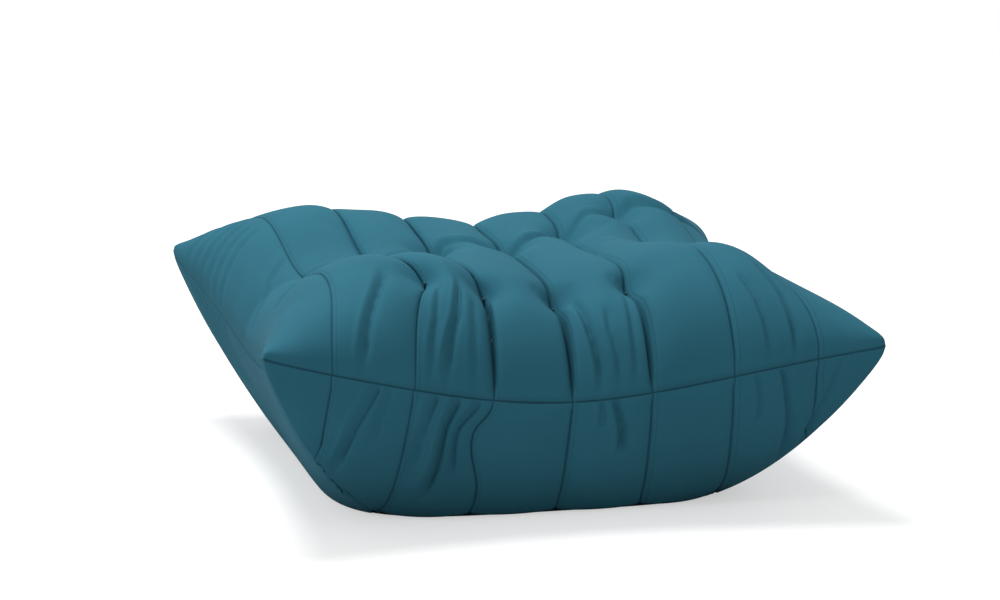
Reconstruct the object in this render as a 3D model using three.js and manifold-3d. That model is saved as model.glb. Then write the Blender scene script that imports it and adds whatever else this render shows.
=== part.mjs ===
// A low foam floor cushion with no frame: three stacked foam blocks in a quilted velvet cover.
// The cover is two shells sewn together at a waist seam, whose four corners stick out as ears.
// Seven channel seams run front to back, and twelve ties pull tufts down through the foam.
// A zip along the rear edge of the base lets the cover come off.
// Millimetres, +Z up, front at -Y, origin on the floor under the middle of the cushion.

import * as THREE from "three";
import { mergeVertices } from "three/addons/utils/BufferGeometryUtils.js";
import Module from "manifold-3d";

const wasm = await Module();
wasm.setup();

// ---- Driving sizes --------------------------------------------------------------------------

const WIDTH = 870; // ear tip to ear tip along X
const DEPTH = 800; // ear tip to ear tip along Y
const WAIST_Z = 178; // waist seam at the middle of each side
const EAR_Z = 256; // waist seam at the ear tips
const CROWN_Z = 330; // top of the foam between the corners
const CORNER_SWELL = 52; // how far the corners swell above the crown
const SIDE_BOW = 60; // how far the left and right waist seams pull in
const FRONT_BOW = 55; // how far the front and rear waist seams pull in
const EAR_BLUNTING = 0.03; // share of the corner that is rounded off at an ear tip

const BASE_WIDTH = 600; // footprint on the floor
const BASE_DEPTH = 552;
const FRONT_SQUARENESS = 4; // superellipse exponent of the footprint's front half
const REAR_SQUARENESS = 8; // the rear edge is straighter, because it carries the zip
const BAND_FADE = 0.2; // share over which the upright band fades out
const STRAIGHT_SHARE = 0.55; // of the fall from waist to floor; the rest of it is rounded

const CHANNEL_PITCH = 111; // between the seams of the sewn channels
const SEAM_PULL = 28; // how far an outer tuft draws its seam towards the middle
const SEAM_PULL_SPREAD = 0.2; // share of the half size over which that fades
const OUTER_SEAM = 3; // seams are numbered from -3 to 3
const GROOVE_DEPTH = 24; // of the middle seam
const GROOVE_FADE = 2; // taken off per square of a seam's number, so the outer seams are shallow
const TUFT_DEPTH = 28; // further pull of a tuft
const TUFT_REACH = 30; // how far a tuft's dimple spreads

const COVER = 2.5; // velvet with its backing
const QUILTING = 14; // polyester quilting behind the velvet
const LAYER_GAP = 1.2; // between nested layers
const SEAM_GAP = 0.4; // between faces that are sewn or glued together

const BASE_FOAM_TOP = 100; // the firm block ends here
const CORE_FOAM_TOP = 205; // and the medium block here
const BASE_CLOTH = 2;

const TIE_RADIUS = 1.3;
const TIE_HOLE_RADIUS = 1.9;
const KNOT_RADIUS = 2.6;
const KNOT_HEIGHT = 2.4;
const KNOT_LIFT = 6; // from the bottom of the tuft to the knot that lies in it
const WASHER_RADIUS = 14;
const WASHER_HEIGHT = 3;
const POCKET_CLEARANCE = 0.6; // around a washer and the knot under it

const ZIP_LENGTH = 400;
const TAPE_HEIGHT = 11;
const TAPE_THICKNESS = 0.6;
const TEETH_HEIGHT = 2.3;
const TEETH_THICKNESS = 2.4;
const TEETH_SLIT = 1.4; // the slider's neck runs in it
const ZIP_FOOT = 0.6; // from the floor to the lower tape
const ZIP_INSET = 1.2; // of the zip's middle plane behind the cover's face
const STOP_LENGTH = 3;

const SLIDER_LENGTH = 14;
const SLIDER_HEIGHT = 12;
const SLIDER_WALL = 1.4;
const SLIDER_CLEARANCE = 0.4; // between its plates and the teeth
const NECK_LENGTH = 4;
const NECK_HEIGHT = 0.8;
const BRIDGE_LENGTH = 10;
const BRIDGE_WIDTH = 2.5;
const BRIDGE_RISE = 5; // above the slider's front plate
const PULL_LENGTH = 24;
const PULL_WIDTH = 8;
const PULL_THICKNESS = 1.4;
const PULL_ARM = 1.7; // beside the hole that holds the bridge
const PULL_HOLE = 7.5;
const PULL_AXIS = 1.7; // hinge line above the slider's front plate

// ---- Sizes worked out from those ------------------------------------------------------------

const HALF_WIDTH = WIDTH / 2 / (1 - EAR_BLUNTING);
const HALF_DEPTH = DEPTH / 2 / (1 - EAR_BLUNTING);
const SEAM_STEP = CHANNEL_PITCH / (WIDTH / 2); // one channel, as a share of the half width
const SWELL_START = 0.6; // share of the half size at which a corner is fully swollen
const CORE_SHARE = 0.55; // layers are offset towards a core this far out from the axis
const CORE_Z = 120;
const QUILT_OUTSET = COVER + LAYER_GAP;
const FOAM_OUTSET = QUILT_OUTSET + QUILTING + LAYER_GAP;
const ZIP_Y = BASE_DEPTH / 2 - ZIP_INSET;
const LOWER_TEETH_Z = ZIP_FOOT + TAPE_HEIGHT + SEAM_GAP;
const ZIP_Z = LOWER_TEETH_Z + TEETH_HEIGHT + TEETH_SLIT / 2;
const ZIP_TOP = 2 * ZIP_Z - ZIP_FOOT;
const ZIP_WINDOW = ZIP_TOP + SEAM_GAP; // height of the opening that the zip closes
const BAND_SHARE = (ZIP_LENGTH / 2 + PULL_LENGTH) / (BASE_WIDTH / 2); // upright this far out
const BAND_REACH = 1.5 * ZIP_WINDOW; // the rear panel turns upright this far above the floor
const PLATE_OFFSET = TEETH_THICKNESS / 2 + SLIDER_CLEARANCE;
const SLIDER_X = ZIP_LENGTH / 2 - STOP_LENGTH - SLIDER_LENGTH / 2 - SEAM_GAP;
const PLENTY = 3 * (WIDTH + DEPTH); // larger than the cushion, for slicing boxes

// Tufts, as a seam number and a place along it from -1 at the front to 1 at the rear.
const TUFT_SEAM = 2; // the outermost seam that has tufts
const ROW_ALONG = 0.68; // where the front and rear rows lie
const TUFTS = [
  ...[-2, -1, 0, 1].map((seam) => ({ row: "front", seam, along: -ROW_ALONG })),
  { row: "middle", seam: -1, along: 0.05 },
  { row: "middle", seam: 0, along: 0.05 },
  { row: "middle", seam: 1, along: 0.21 },
  { row: "middle", seam: 2, along: 0.36 },
  ...[-1, 0, 1, 2].map((seam) => ({ row: "rear", seam, along: ROW_ALONG })),
];

// ---- Materials ------------------------------------------------------------------------------

const material = (color, roughness, metalness = 0) =>
  new THREE.MeshStandardMaterial({ color, roughness, metalness });

const VELVET = material(0x2b6c80, 0.85);
const WADDING = material(0xe9e7e0, 0.95);
const SOFT_FOAM = material(0xefe3b4, 0.9);
const MEDIUM_FOAM = material(0xd9c98c, 0.9);
const FIRM_FOAM = material(0x9fb0a6, 0.9);
const DUST_CLOTH = material(0x1b1c1e, 0.95);
const ZIP_CLOTH = material(0x1d4552, 0.8);
const ZIP_PLASTIC = material(0x1f4a58, 0.4);
const METAL = material(0x8d9094, 0.35, 1);
const TWINE = material(0x1f4956, 0.8);
const WASHER_PLASTIC = material(0xdcdcd6, 0.5);

// ---- The cushion's surface ------------------------------------------------------------------

const swell = (share) => {
  const s = Math.min(1, share);
  return s * s * (3 - 2 * s);
};

// How deep the nearest channel seam cuts at a share u of the half width.
function grooveAt(u) {
  const place = u / SEAM_STEP;
  const seam = Math.max(-OUTER_SEAM, Math.min(OUTER_SEAM, Math.round(place)));
  const offset = Math.min(0.5, Math.abs(place - seam));
  const depth = GROOVE_DEPTH - GROOVE_FADE * seam * seam;
  return depth * (1 - Math.sin(Math.PI * offset) ** 0.7);
}

// The outermost tufts, front left and rear right, draw their seams towards the middle.
function drawnIn(u, v) {
  const side = Math.sign(v);
  const across = (u * side - TUFT_SEAM * SEAM_STEP) / SEAM_PULL_SPREAD;
  const along = (v * side - ROW_ALONG) / SEAM_PULL_SPREAD;
  return u - side * (SEAM_PULL / HALF_WIDTH) * Math.exp(-across * across - along * along);
}

// The smooth body above the waist. u and v run from -1 to 1 across the width and the depth.
function crownPoint(u, v) {
  const corner = Math.abs(u * v);
  const blunt = 1 - EAR_BLUNTING * corner ** 12;
  const x = drawnIn(u, v) * (HALF_WIDTH - SIDE_BOW * (1 - v * v) * u * u) * blunt;
  const y = v * (HALF_DEPTH - FRONT_BOW * (1 - u * u) * v * v) * blunt;
  const waist = WAIST_Z + (EAR_Z - WAIST_Z) * corner * corner * (2 - corner);
  const rise = Math.sqrt(Math.max(0, (1 - u ** 4) * (1 - v ** 4)));
  const swollen = swell(Math.abs(u) / SWELL_START) * swell(Math.abs(v) / SWELL_START);
  const top = CROWN_Z + CORNER_SWELL * swollen;
  return { point: new THREE.Vector3(x, y, waist + (top - waist) * rise), rise };
}

// The way out of the body at a point, which layers are offset along.
function outward(point) {
  const above = Math.max(0, point.z - CORE_Z);
  const share = 1 - CORE_SHARE;
  return new THREE.Vector3(point.x * share, point.y * share, above).normalize();
}

const tuftCentres = TUFTS.map((t) => crownPoint(t.seam * SEAM_STEP, t.along).point);

function tuftPull(point) {
  let pull = 0;
  for (const centre of tuftCentres) {
    const away = Math.hypot(point.x - centre.x, point.y - centre.y) / TUFT_REACH;
    pull += TUFT_DEPTH * Math.exp(-away * away);
  }
  return pull;
}

// A point of the upper layers, set in from the cover's face by inset.
function upperPoint(u, v, inset) {
  const { point, rise } = crownPoint(u, v);
  const depth = (grooveAt(u) + tuftPull(point)) * rise;
  return point.addScaledVector(outward(point), -(depth + inset));
}

// A point below the waist. (u, v) lies on the edge of the square, and w runs from 0 at the waist
// to 1 on the floor. gap lowers the waist, so that the lower cover clears the upper one.
function lowerPoint(u, v, w, inset, gap) {
  const { point } = crownPoint(u, v);
  const squareness = v > 0 ? REAR_SQUARENESS : FRONT_SQUARENESS;
  const reach = (Math.abs(u) ** squareness + Math.abs(v) ** squareness) ** (-1 / squareness);
  const baseX = (BASE_WIDTH / 2) * u * reach;
  const baseY = (BASE_DEPTH / 2) * v * reach;
  const round = 1 - STRAIGHT_SHARE;
  const inwardAt = (share) =>
    STRAIGHT_SHARE * share + round * (1 - Math.cos((share * Math.PI) / 2));
  const down = STRAIGHT_SHARE * w + round * Math.sin((w * Math.PI) / 2);
  const height = (point.z - gap) * (1 - down);

  // The foot of the rear panel is upright behind the zip.
  const fallen = Math.min(1, down / (1 - BAND_REACH / point.z));
  const faded = (Math.abs(u) - BAND_SHARE) / BAND_FADE;
  const rear = v >= 1 ? 1 - swell(Math.max(0, faded)) : 0;
  const inward = inwardAt(w) * (1 - rear) + inwardAt(fallen) * rear;

  const made = new THREE.Vector3(
    point.x + (baseX - point.x) * inward,
    point.y + (baseY - point.y) * inward,
    height,
  );
  return made.addScaledVector(outward(made), -inset);
}

// ---- Grids of points on that surface --------------------------------------------------------

const STEPS_PER_CHANNEL = 3;
const EAR_STEPS = 3; // from the outer seam to the ear
const ROWS = 14;
const LOWER_ROWS = 4;

// The shares of the half width at which the grid has a line: each seam, and lines between.
function crossLines() {
  const outer = OUTER_SEAM * SEAM_STEP;
  const inner = [];
  for (let i = -OUTER_SEAM * STEPS_PER_CHANNEL; i <= OUTER_SEAM * STEPS_PER_CHANNEL; i++)
    inner.push((i * SEAM_STEP) / STEPS_PER_CHANNEL);
  const ear = [];
  const start = Math.asin(outer);
  for (let i = 1; i <= EAR_STEPS; i++)
    ear.push(Math.sin(start + ((Math.PI / 2 - start) * i) / EAR_STEPS));
  return [...ear.map((s) => -s).reverse(), ...inner, ...ear];
}

// The same across the depth. The line nearest to a row of tufts is moved onto it.
function depthLines() {
  const lines = [];
  for (let j = 0; j <= ROWS; j++) lines.push(Math.sin((Math.PI / 2) * ((2 * j) / ROWS - 1)));
  const distance = (line, along) => Math.abs(line - along);
  for (const { along } of TUFTS) {
    const nearest = lines.reduce((a, b) => (distance(b, along) < distance(a, along) ? b : a));
    lines[lines.indexOf(nearest)] = along;
  }
  return lines;
}

const U_LINES = crossLines();
const V_LINES = depthLines();

// The edge of the square, anticlockwise from the front left ear, without repeating the start.
const EDGE = [
  ...U_LINES.slice(0, -1).map((u) => [u, -1]),
  ...V_LINES.slice(0, -1).map((v) => [1, v]),
  ...U_LINES.slice(1).reverse().map((u) => [u, 1]),
  ...V_LINES.slice(1).reverse().map((v) => [-1, v]),
];

// ---- Meshes and solids ----------------------------------------------------------------------

function quad(list, a, b, c, d) {
  list.push(a, b, c, a, c, d);
}

// One cell of a grid, facing out (1) or in (-1). A flipped cell is split along its other diagonal.
function cell(list, grid, i, k, j, facing, flipped) {
  const corners = [grid[i][j], grid[k][j], grid[k][j + 1], grid[i][j + 1]];
  if (flipped) corners.push(corners.shift());
  const [a, b, c, d] = corners;
  if (facing > 0) quad(list, a, b, c, d);
  else quad(list, a, d, c, b);
}

// On the upper layers a cell's diagonal points from its ear to the middle.
const isFlipped = (grid, i, j) => i < (grid.length - 1) / 2 !== j < (grid[0].length - 1) / 2;

function geometryOf(list) {
  const geometry = new THREE.BufferGeometry().setFromPoints(list);
  return mergeVertices(geometry, 1e-3);
}

// A shell between two grids of points, outer[i][j] and inner[i][j]. A wrapped grid closes along i.
function shellGeometry(outer, inner, wrapped) {
  const list = [];
  const lastI = outer.length - 1;
  const lastJ = outer[0].length - 1;
  const spans = wrapped ? lastI + 1 : lastI;
  for (let i = 0; i < spans; i++) {
    const k = (i + 1) % outer.length;
    for (let j = 0; j < lastJ; j++) {
      const flipped = !wrapped && isFlipped(outer, i, j);
      cell(list, outer, i, k, j, 1, flipped);
      cell(list, inner, i, k, j, -1, flipped);
    }
    quad(list, outer[k][0], outer[i][0], inner[i][0], inner[k][0]);
    quad(list, outer[i][lastJ], outer[k][lastJ], inner[k][lastJ], inner[i][lastJ]);
  }
  if (!wrapped)
    for (let j = 0; j < lastJ; j++) {
      quad(list, outer[0][j], outer[0][j + 1], inner[0][j + 1], inner[0][j]);
      quad(list, outer[lastI][j + 1], outer[lastI][j], inner[lastI][j], inner[lastI][j + 1]);
    }
  return geometryOf(list);
}

const upperGrid = (inset) => U_LINES.map((u) => V_LINES.map((v) => upperPoint(u, v, inset)));

// Rows run from the floor up to the waist.
function lowerGrid(inset, gap) {
  return EDGE.map(([u, v]) => {
    const column = [];
    for (let j = LOWER_ROWS; j >= 0; j--) column.push(lowerPoint(u, v, j / LOWER_ROWS, inset, gap));
    return column;
  });
}

// The whole body as one closed solid, set in by inset: what the foam blocks are sliced from.
function bodyGeometry(inset) {
  const list = [];
  const top = upperGrid(inset);
  for (let i = 0; i < top.length - 1; i++)
    for (let j = 0; j < top[i].length - 1; j++) cell(list, top, i, i + 1, j, 1, isFlipped(top, i, j));
  const sides = lowerGrid(inset, 0);
  const middle = new THREE.Vector3(0, 0, 0);
  sides.forEach((column, i) => {
    const next = sides[(i + 1) % sides.length];
    for (let j = 0; j < LOWER_ROWS; j++)
      quad(list, column[j], next[j], next[j + 1], column[j + 1]);
    list.push(middle, next[0], column[0]);
  });
  return geometryOf(list);
}

function solidOf(geometry) {
  const bare = geometry.clone();
  bare.deleteAttribute("normal");
  bare.deleteAttribute("uv");
  const merged = mergeVertices(bare, 1e-4);
  return new wasm.Manifold(
    new wasm.Mesh({
      numProp: 3,
      vertProperties: merged.attributes.position.array,
      triVerts: new Uint32Array(merged.index.array),
    }),
  );
}

function geometryFrom(solid) {
  const mesh = solid.getMesh();
  const geometry = new THREE.BufferGeometry();
  const positions = new Float32Array(mesh.vertProperties);
  geometry.setAttribute("position", new THREE.BufferAttribute(positions, 3));
  geometry.setIndex(new THREE.BufferAttribute(new Uint32Array(mesh.triVerts), 1));
  const flat = geometry.toNonIndexed();
  flat.computeVertexNormals();
  return flat;
}

// A box from its lowest and highest corners.
function boxGeometry(low, high) {
  const size = high.map((h, i) => h - low[i]);
  const middle = high.map((h, i) => (h + low[i]) / 2);
  return new THREE.BoxGeometry(...size).translate(...middle);
}

const boxSolid = (low, high) => solidOf(boxGeometry(low, high));

// What of a solid lies between two heights.
function slice(solid, low, high) {
  const slab = boxSolid([-PLENTY, -PLENTY, low], [PLENTY, PLENTY, high]);
  return solid.intersect(slab);
}

// An upright cylinder from a profile turned about Z. A profile is a list of [radius, height].
function turned(profile, segments) {
  const points = profile.map(([radius, height]) => new THREE.Vector2(radius, height));
  return new THREE.LatheGeometry(points, segments).rotateX(Math.PI / 2);
}

function rodSolid(centre, radius, low, high, segments) {
  const profile = [
    [0, low],
    [radius, low],
    [radius, high],
    [0, high],
  ];
  return solidOf(turned(profile, segments).translate(centre.x, centre.y, 0));
}

// ---- Tufts ----------------------------------------------------------------------------------

const TIE_SIDES = 6;
const WASHER_SIDES = 10;
const tuftBottoms = TUFTS.map((t) => upperPoint(t.seam * SEAM_STEP, t.along, 0));
const LOWER_KNOT_Z = BASE_FOAM_TOP + SEAM_GAP + POCKET_CLEARANCE;
const WASHER_Z = LOWER_KNOT_Z + KNOT_HEIGHT + SEAM_GAP;
const POCKET_TOP = WASHER_Z + WASHER_HEIGHT + POCKET_CLEARANCE;

// Twine from a knot under the core foam to a knot that lies in the tuft.
function tieGeometry(bottom) {
  const knot = bottom.z + KNOT_LIFT;
  const profile = [
    [0, LOWER_KNOT_Z],
    [KNOT_RADIUS, LOWER_KNOT_Z],
    [KNOT_RADIUS, LOWER_KNOT_Z + KNOT_HEIGHT],
    [TIE_RADIUS, LOWER_KNOT_Z + KNOT_HEIGHT],
    [TIE_RADIUS, knot],
    [KNOT_RADIUS, knot],
    [KNOT_RADIUS, knot + KNOT_HEIGHT],
    [0, knot + KNOT_HEIGHT],
  ];
  return turned(profile, TIE_SIDES).translate(bottom.x, bottom.y, 0);
}

function washerGeometry(bottom) {
  const profile = [
    [TIE_HOLE_RADIUS, WASHER_Z],
    [WASHER_RADIUS, WASHER_Z],
    [WASHER_RADIUS, WASHER_Z + WASHER_HEIGHT],
    [TIE_HOLE_RADIUS, WASHER_Z + WASHER_HEIGHT],
    [TIE_HOLE_RADIUS, WASHER_Z],
  ];
  return turned(profile, WASHER_SIDES).translate(bottom.x, bottom.y, 0);
}

// A layer with a hole for each tie, and with pockets for the washers where it is the core foam.
function tied(solid, pocketed = false) {
  let made = solid;
  for (const bottom of tuftBottoms) {
    made = made.subtract(rodSolid(bottom, TIE_HOLE_RADIUS, CORE_Z / 2, PLENTY, TIE_SIDES));
    if (pocketed) {
      const radius = WASHER_RADIUS + POCKET_CLEARANCE;
      made = made.subtract(rodSolid(bottom, radius, 0, POCKET_TOP, WASHER_SIDES));
    }
  }
  return made;
}

// ---- Covers, quilting and foam --------------------------------------------------------------

const zipWindow = (clearance, depth) =>
  boxSolid(
    [-ZIP_LENGTH / 2 - clearance, ZIP_Y - depth, -PLENTY],
    [ZIP_LENGTH / 2 + clearance, PLENTY, ZIP_WINDOW + clearance],
  );

function upperCover() {
  return tied(solidOf(shellGeometry(upperGrid(0), upperGrid(COVER), false)));
}

function upperQuilting() {
  const inner = QUILT_OUTSET + QUILTING;
  return tied(solidOf(shellGeometry(upperGrid(QUILT_OUTSET), upperGrid(inner), false)));
}

function lowerCover() {
  const shell = solidOf(shellGeometry(lowerGrid(0, SEAM_GAP), lowerGrid(COVER, SEAM_GAP), true));
  return shell.subtract(zipWindow(SEAM_GAP, COVER * 2));
}

// The quilting stops above the base cloth, and is trimmed back behind the zip's slider.
function lowerQuilting() {
  const inner = QUILT_OUTSET + QUILTING;
  const shell = solidOf(
    shellGeometry(lowerGrid(QUILT_OUTSET, LAYER_GAP), lowerGrid(inner, LAYER_GAP), true),
  );
  const depth = PLATE_OFFSET + SLIDER_WALL + LAYER_GAP;
  return slice(shell, BASE_CLOTH + SEAM_GAP, PLENTY).subtract(zipWindow(SEAM_GAP, depth));
}

function baseCloth() {
  const solid = slice(solidOf(bodyGeometry(COVER + SEAM_GAP)), -1, BASE_CLOTH);
  const behindTape = TAPE_THICKNESS / 2 + SEAM_GAP;
  return solid.subtract(zipWindow(SEAM_GAP, behindTape));
}

function foamBlocks() {
  const body = solidOf(bodyGeometry(FOAM_OUTSET));
  return {
    base: slice(body, BASE_CLOTH + SEAM_GAP, BASE_FOAM_TOP),
    core: tied(slice(body, BASE_FOAM_TOP + SEAM_GAP, CORE_FOAM_TOP), true),
    top: tied(slice(body, CORE_FOAM_TOP + SEAM_GAP, PLENTY)),
  };
}

// ---- Zip ------------------------------------------------------------------------------------

// side is 1 for the upper half of the zip and -1 for the lower half.
function tapeGeometry(side) {
  const near = TEETH_SLIT / 2 + TEETH_HEIGHT + SEAM_GAP;
  const edges = [side * near, side * (near + TAPE_HEIGHT)];
  return boxGeometry(
    [-ZIP_LENGTH / 2, ZIP_Y - TAPE_THICKNESS / 2, ZIP_Z + Math.min(...edges)],
    [ZIP_LENGTH / 2, ZIP_Y + TAPE_THICKNESS / 2, ZIP_Z + Math.max(...edges)],
  );
}

// The closed teeth of one side, as the plain strip that they fill.
function teethGeometry(side) {
  const edges = [side * (TEETH_SLIT / 2), side * (TEETH_SLIT / 2 + TEETH_HEIGHT)];
  const half = ZIP_LENGTH / 2 - STOP_LENGTH - SEAM_GAP;
  return boxGeometry(
    [-half, ZIP_Y - TEETH_THICKNESS / 2, ZIP_Z + Math.min(...edges)],
    [half, ZIP_Y + TEETH_THICKNESS / 2, ZIP_Z + Math.max(...edges)],
  );
}

// end is 1 at the closed end of the zip, where the slider is parked, and -1 at the other.
function stopGeometry(end) {
  const height = TEETH_SLIT / 2 + TEETH_HEIGHT;
  const outer = (end * ZIP_LENGTH) / 2;
  const inner = end * (ZIP_LENGTH / 2 - STOP_LENGTH);
  return boxGeometry(
    [Math.min(outer, inner), ZIP_Y - TEETH_THICKNESS / 2, ZIP_Z - height],
    [Math.max(outer, inner), ZIP_Y + TEETH_THICKNESS / 2, ZIP_Z + height],
  );
}

// Two plates joined by a neck, with a bridge on the front plate that holds the pull.
function sliderSolid() {
  const halfLength = SLIDER_LENGTH / 2;
  const halfHeight = SLIDER_HEIGHT / 2;
  const near = PLATE_OFFSET;
  const far = PLATE_OFFSET + SLIDER_WALL;
  const front = boxSolid([-halfLength, near, -halfHeight], [halfLength, far, halfHeight]);
  const back = boxSolid([-halfLength, -far, -halfHeight], [halfLength, -near, halfHeight]);
  const neck = boxSolid(
    [halfLength - NECK_LENGTH, -far, -NECK_HEIGHT / 2],
    [halfLength, far, NECK_HEIGHT / 2],
  );
  const halfBridge = BRIDGE_LENGTH / 2;
  const arch = boxSolid(
    [-halfBridge, far - SLIDER_WALL / 2, -BRIDGE_WIDTH / 2],
    [halfBridge, far + BRIDGE_RISE, BRIDGE_WIDTH / 2],
  );
  const opening = boxSolid(
    [-halfBridge + SLIDER_WALL, far, -BRIDGE_WIDTH],
    [halfBridge - SLIDER_WALL, far + BRIDGE_RISE - SLIDER_WALL, BRIDGE_WIDTH],
  );
  return front.add(back).add(neck).add(arch.subtract(opening)).translate(SLIDER_X, ZIP_Y, ZIP_Z);
}

// A flat tab with a hole. It lies along -X from its hinge line, flat over the slider.
function pullSolid() {
  const half = PULL_THICKNESS / 2;
  const edge = PULL_WIDTH / 2;
  const tab = boxSolid([-PULL_LENGTH, -half, -edge], [half, half, edge]);
  const hole = boxSolid(
    [-PULL_HOLE, -PULL_THICKNESS, -edge + PULL_ARM],
    [-half, PULL_THICKNESS, edge - PULL_ARM],
  );
  const hinge = ZIP_Y + PLATE_OFFSET + SLIDER_WALL + PULL_AXIS;
  return tab.subtract(hole).translate(SLIDER_X, hinge, ZIP_Z);
}

// ---- The assembly ---------------------------------------------------------------------------

const cushion = new THREE.Group();
cushion.name = "floor_cushion";

function place(name, geometry, finish) {
  const mesh = new THREE.Mesh(geometry, finish);
  mesh.name = name;
  cushion.add(mesh);
}

place("upper_cover", geometryFrom(upperCover()), VELVET);
place("upper_quilting", geometryFrom(upperQuilting()), WADDING);
place("lower_cover", geometryFrom(lowerCover()), VELVET);
place("lower_quilting", geometryFrom(lowerQuilting()), WADDING);
place("base_cloth", geometryFrom(baseCloth()), DUST_CLOTH);

const foam = foamBlocks();
place("top_foam_soft", geometryFrom(foam.top), SOFT_FOAM);
place("core_foam_medium", geometryFrom(foam.core), MEDIUM_FOAM);
place("base_foam_firm", geometryFrom(foam.base), FIRM_FOAM);

TUFTS.forEach(({ row, seam }, i) => {
  const name = `${row}_${seam + OUTER_SEAM}`;
  place(`tuft_tie_${name}`, tieGeometry(tuftBottoms[i]), TWINE);
  place(`tuft_washer_${name}`, washerGeometry(tuftBottoms[i]), WASHER_PLASTIC);
});

place("zip_tape_upper", tapeGeometry(1), ZIP_CLOTH);
place("zip_tape_lower", tapeGeometry(-1), ZIP_CLOTH);
place("zip_teeth_upper", teethGeometry(1), ZIP_PLASTIC);
place("zip_teeth_lower", teethGeometry(-1), ZIP_PLASTIC);
place("zip_stop_closed_end", stopGeometry(1), METAL);
place("zip_stop_open_end", stopGeometry(-1), METAL);
place("zip_slider", geometryFrom(sliderSolid()), METAL);
place("zip_pull", geometryFrom(pullSolid()), METAL);

export default cushion;
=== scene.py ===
"""The looks of a low floor cushion: a quilted velvet cover, sewn into channels and tufted,
over wadding and stacked foam, with a zip along the rear edge of its base."""

import logging
import math
from dataclasses import dataclass, field, fields
from enum import Enum

import bpy
import numpy as np
from mathutils import Matrix, Vector


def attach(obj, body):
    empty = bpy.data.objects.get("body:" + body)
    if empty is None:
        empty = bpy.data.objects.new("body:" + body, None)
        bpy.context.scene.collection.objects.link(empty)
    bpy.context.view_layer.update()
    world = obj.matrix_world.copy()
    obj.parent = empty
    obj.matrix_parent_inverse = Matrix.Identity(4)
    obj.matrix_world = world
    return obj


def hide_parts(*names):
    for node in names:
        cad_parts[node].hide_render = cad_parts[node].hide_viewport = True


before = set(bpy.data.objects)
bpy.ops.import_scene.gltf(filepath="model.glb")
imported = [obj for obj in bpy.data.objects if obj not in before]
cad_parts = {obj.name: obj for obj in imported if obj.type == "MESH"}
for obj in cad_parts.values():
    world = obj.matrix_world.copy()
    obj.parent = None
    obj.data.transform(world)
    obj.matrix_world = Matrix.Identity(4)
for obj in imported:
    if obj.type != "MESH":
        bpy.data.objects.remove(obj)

log = logging.getLogger("cushion")

Array = np.ndarray
Colour = tuple[float, float, float, float]

MM = 0.001

# Shares closer together than this are the same.
SAME = 1e-6

# The lower cover's profile, between a straight slope at 1 and a quarter of an ellipse at 0.
FALL_MIX = 0.55


def rgb(red: int, green: int, blue: int) -> Colour:
    """A display colour, from 0 to 255 a channel, as the linear colour that nodes take."""
    return tuple(((c / 255 + 0.055) / 1.055) ** 2.4 for c in (red, green, blue)) + (1.0,)


def ease(share: Array) -> Array:
    """Rises smoothly from 0 at 0 to 1 at 1, and is flat outside them."""
    held = np.clip(share, 0, 1)
    return held * held * (3 - 2 * held)


def bell(away: Array, reach: float) -> Array:
    """1 at no distance, falling to 0 well past the reach."""
    return np.exp(-((away / reach) ** 2))


def fallen(share: Array) -> Array:
    """How much of the waist's height a share of the lower cover's fall has come down."""
    return FALL_MIX * share + (1 - FALL_MIX) * np.sin(share * np.pi / 2)


def drawn_under(share: Array) -> Array:
    """How much of the way to the base a share of the lower cover's fall has come inwards."""
    return FALL_MIX * share + (1 - FALL_MIX) * (1 - np.cos(share * np.pi / 2))


# ---- The cushion's shape --------------------------------------------------------------------


@dataclass(frozen=True)
class Fold:
    """A crease in the cloth, along a path of straight stretches.

    Places on the upper cover are shares of the half width and half depth, from -1 to 1.
    On the lower cover the second share runs from 0 at the waist seam to 1 on the floor.
    Depth and spread are millimetres, the lip's place and width are shares of the spread, and
    a fade is the share of the path that it takes and how far it has come at the path's end.
    """

    path: tuple[tuple[float, float], ...]
    depth: float
    spread: float = 8
    hold: float = 0.3
    lip: float = 0.3
    lip_place: float = 1.9
    lip_width: float = 0.9
    sharpness: float = 1.1
    start_fade: tuple[float, float] = (0.2, 0.6)
    end_fade: tuple[float, float] = (0.35, 0.15)

    def amount(self, across: Array, along: Array, size: tuple[float, float]) -> Array:
        """How much of the fold reaches each point.

        Args:
            across: First shares of the points.
            along: Second shares of the points.
            size: Lengths in millimetres that a share of 1 stands for.

        Returns:
            Values that are 1 on the fold's line, 0 clear of it, and below 0 on the lip that
            stands up along its left side. The fold fades out at both ends.
        """
        stops = [(x * size[0], y * size[1]) for x, y in self.path]
        spans = [(bx - ax, by - ay) for (ax, ay), (bx, by) in zip(stops, stops[1:])]
        lengths = [math.hypot(*span) for span in spans]
        nearest = np.full(np.shape(across), np.inf)
        place = np.zeros(np.shape(across))
        left = np.zeros(np.shape(across))
        for k, ((ax, ay), (bx, by)) in enumerate(zip(stops, spans)):
            px, py = across * size[0] - ax, along * size[1] - ay
            share = np.clip((px * bx + py * by) / lengths[k] ** 2, 0, 1)
            away = np.hypot(px - bx * share, py - by * share)
            closer = away < nearest
            nearest = np.where(closer, away, nearest)
            place = np.where(closer, sum(lengths[:k]) + share * lengths[k], place)
            left = np.where(closer, np.sign(bx * py - by * px), left)
        place /= sum(lengths)
        first, last = self.start_fade, self.end_fade
        ends = ease(place / first[0] + first[1]) * ease((1 - place) / last[0] + last[1])
        away = nearest / self.spread
        ridge = self.lip * bell(away * left - self.lip_place, self.lip_width)
        return (np.exp(-(away**self.sharpness)) - ridge) * ends


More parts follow.
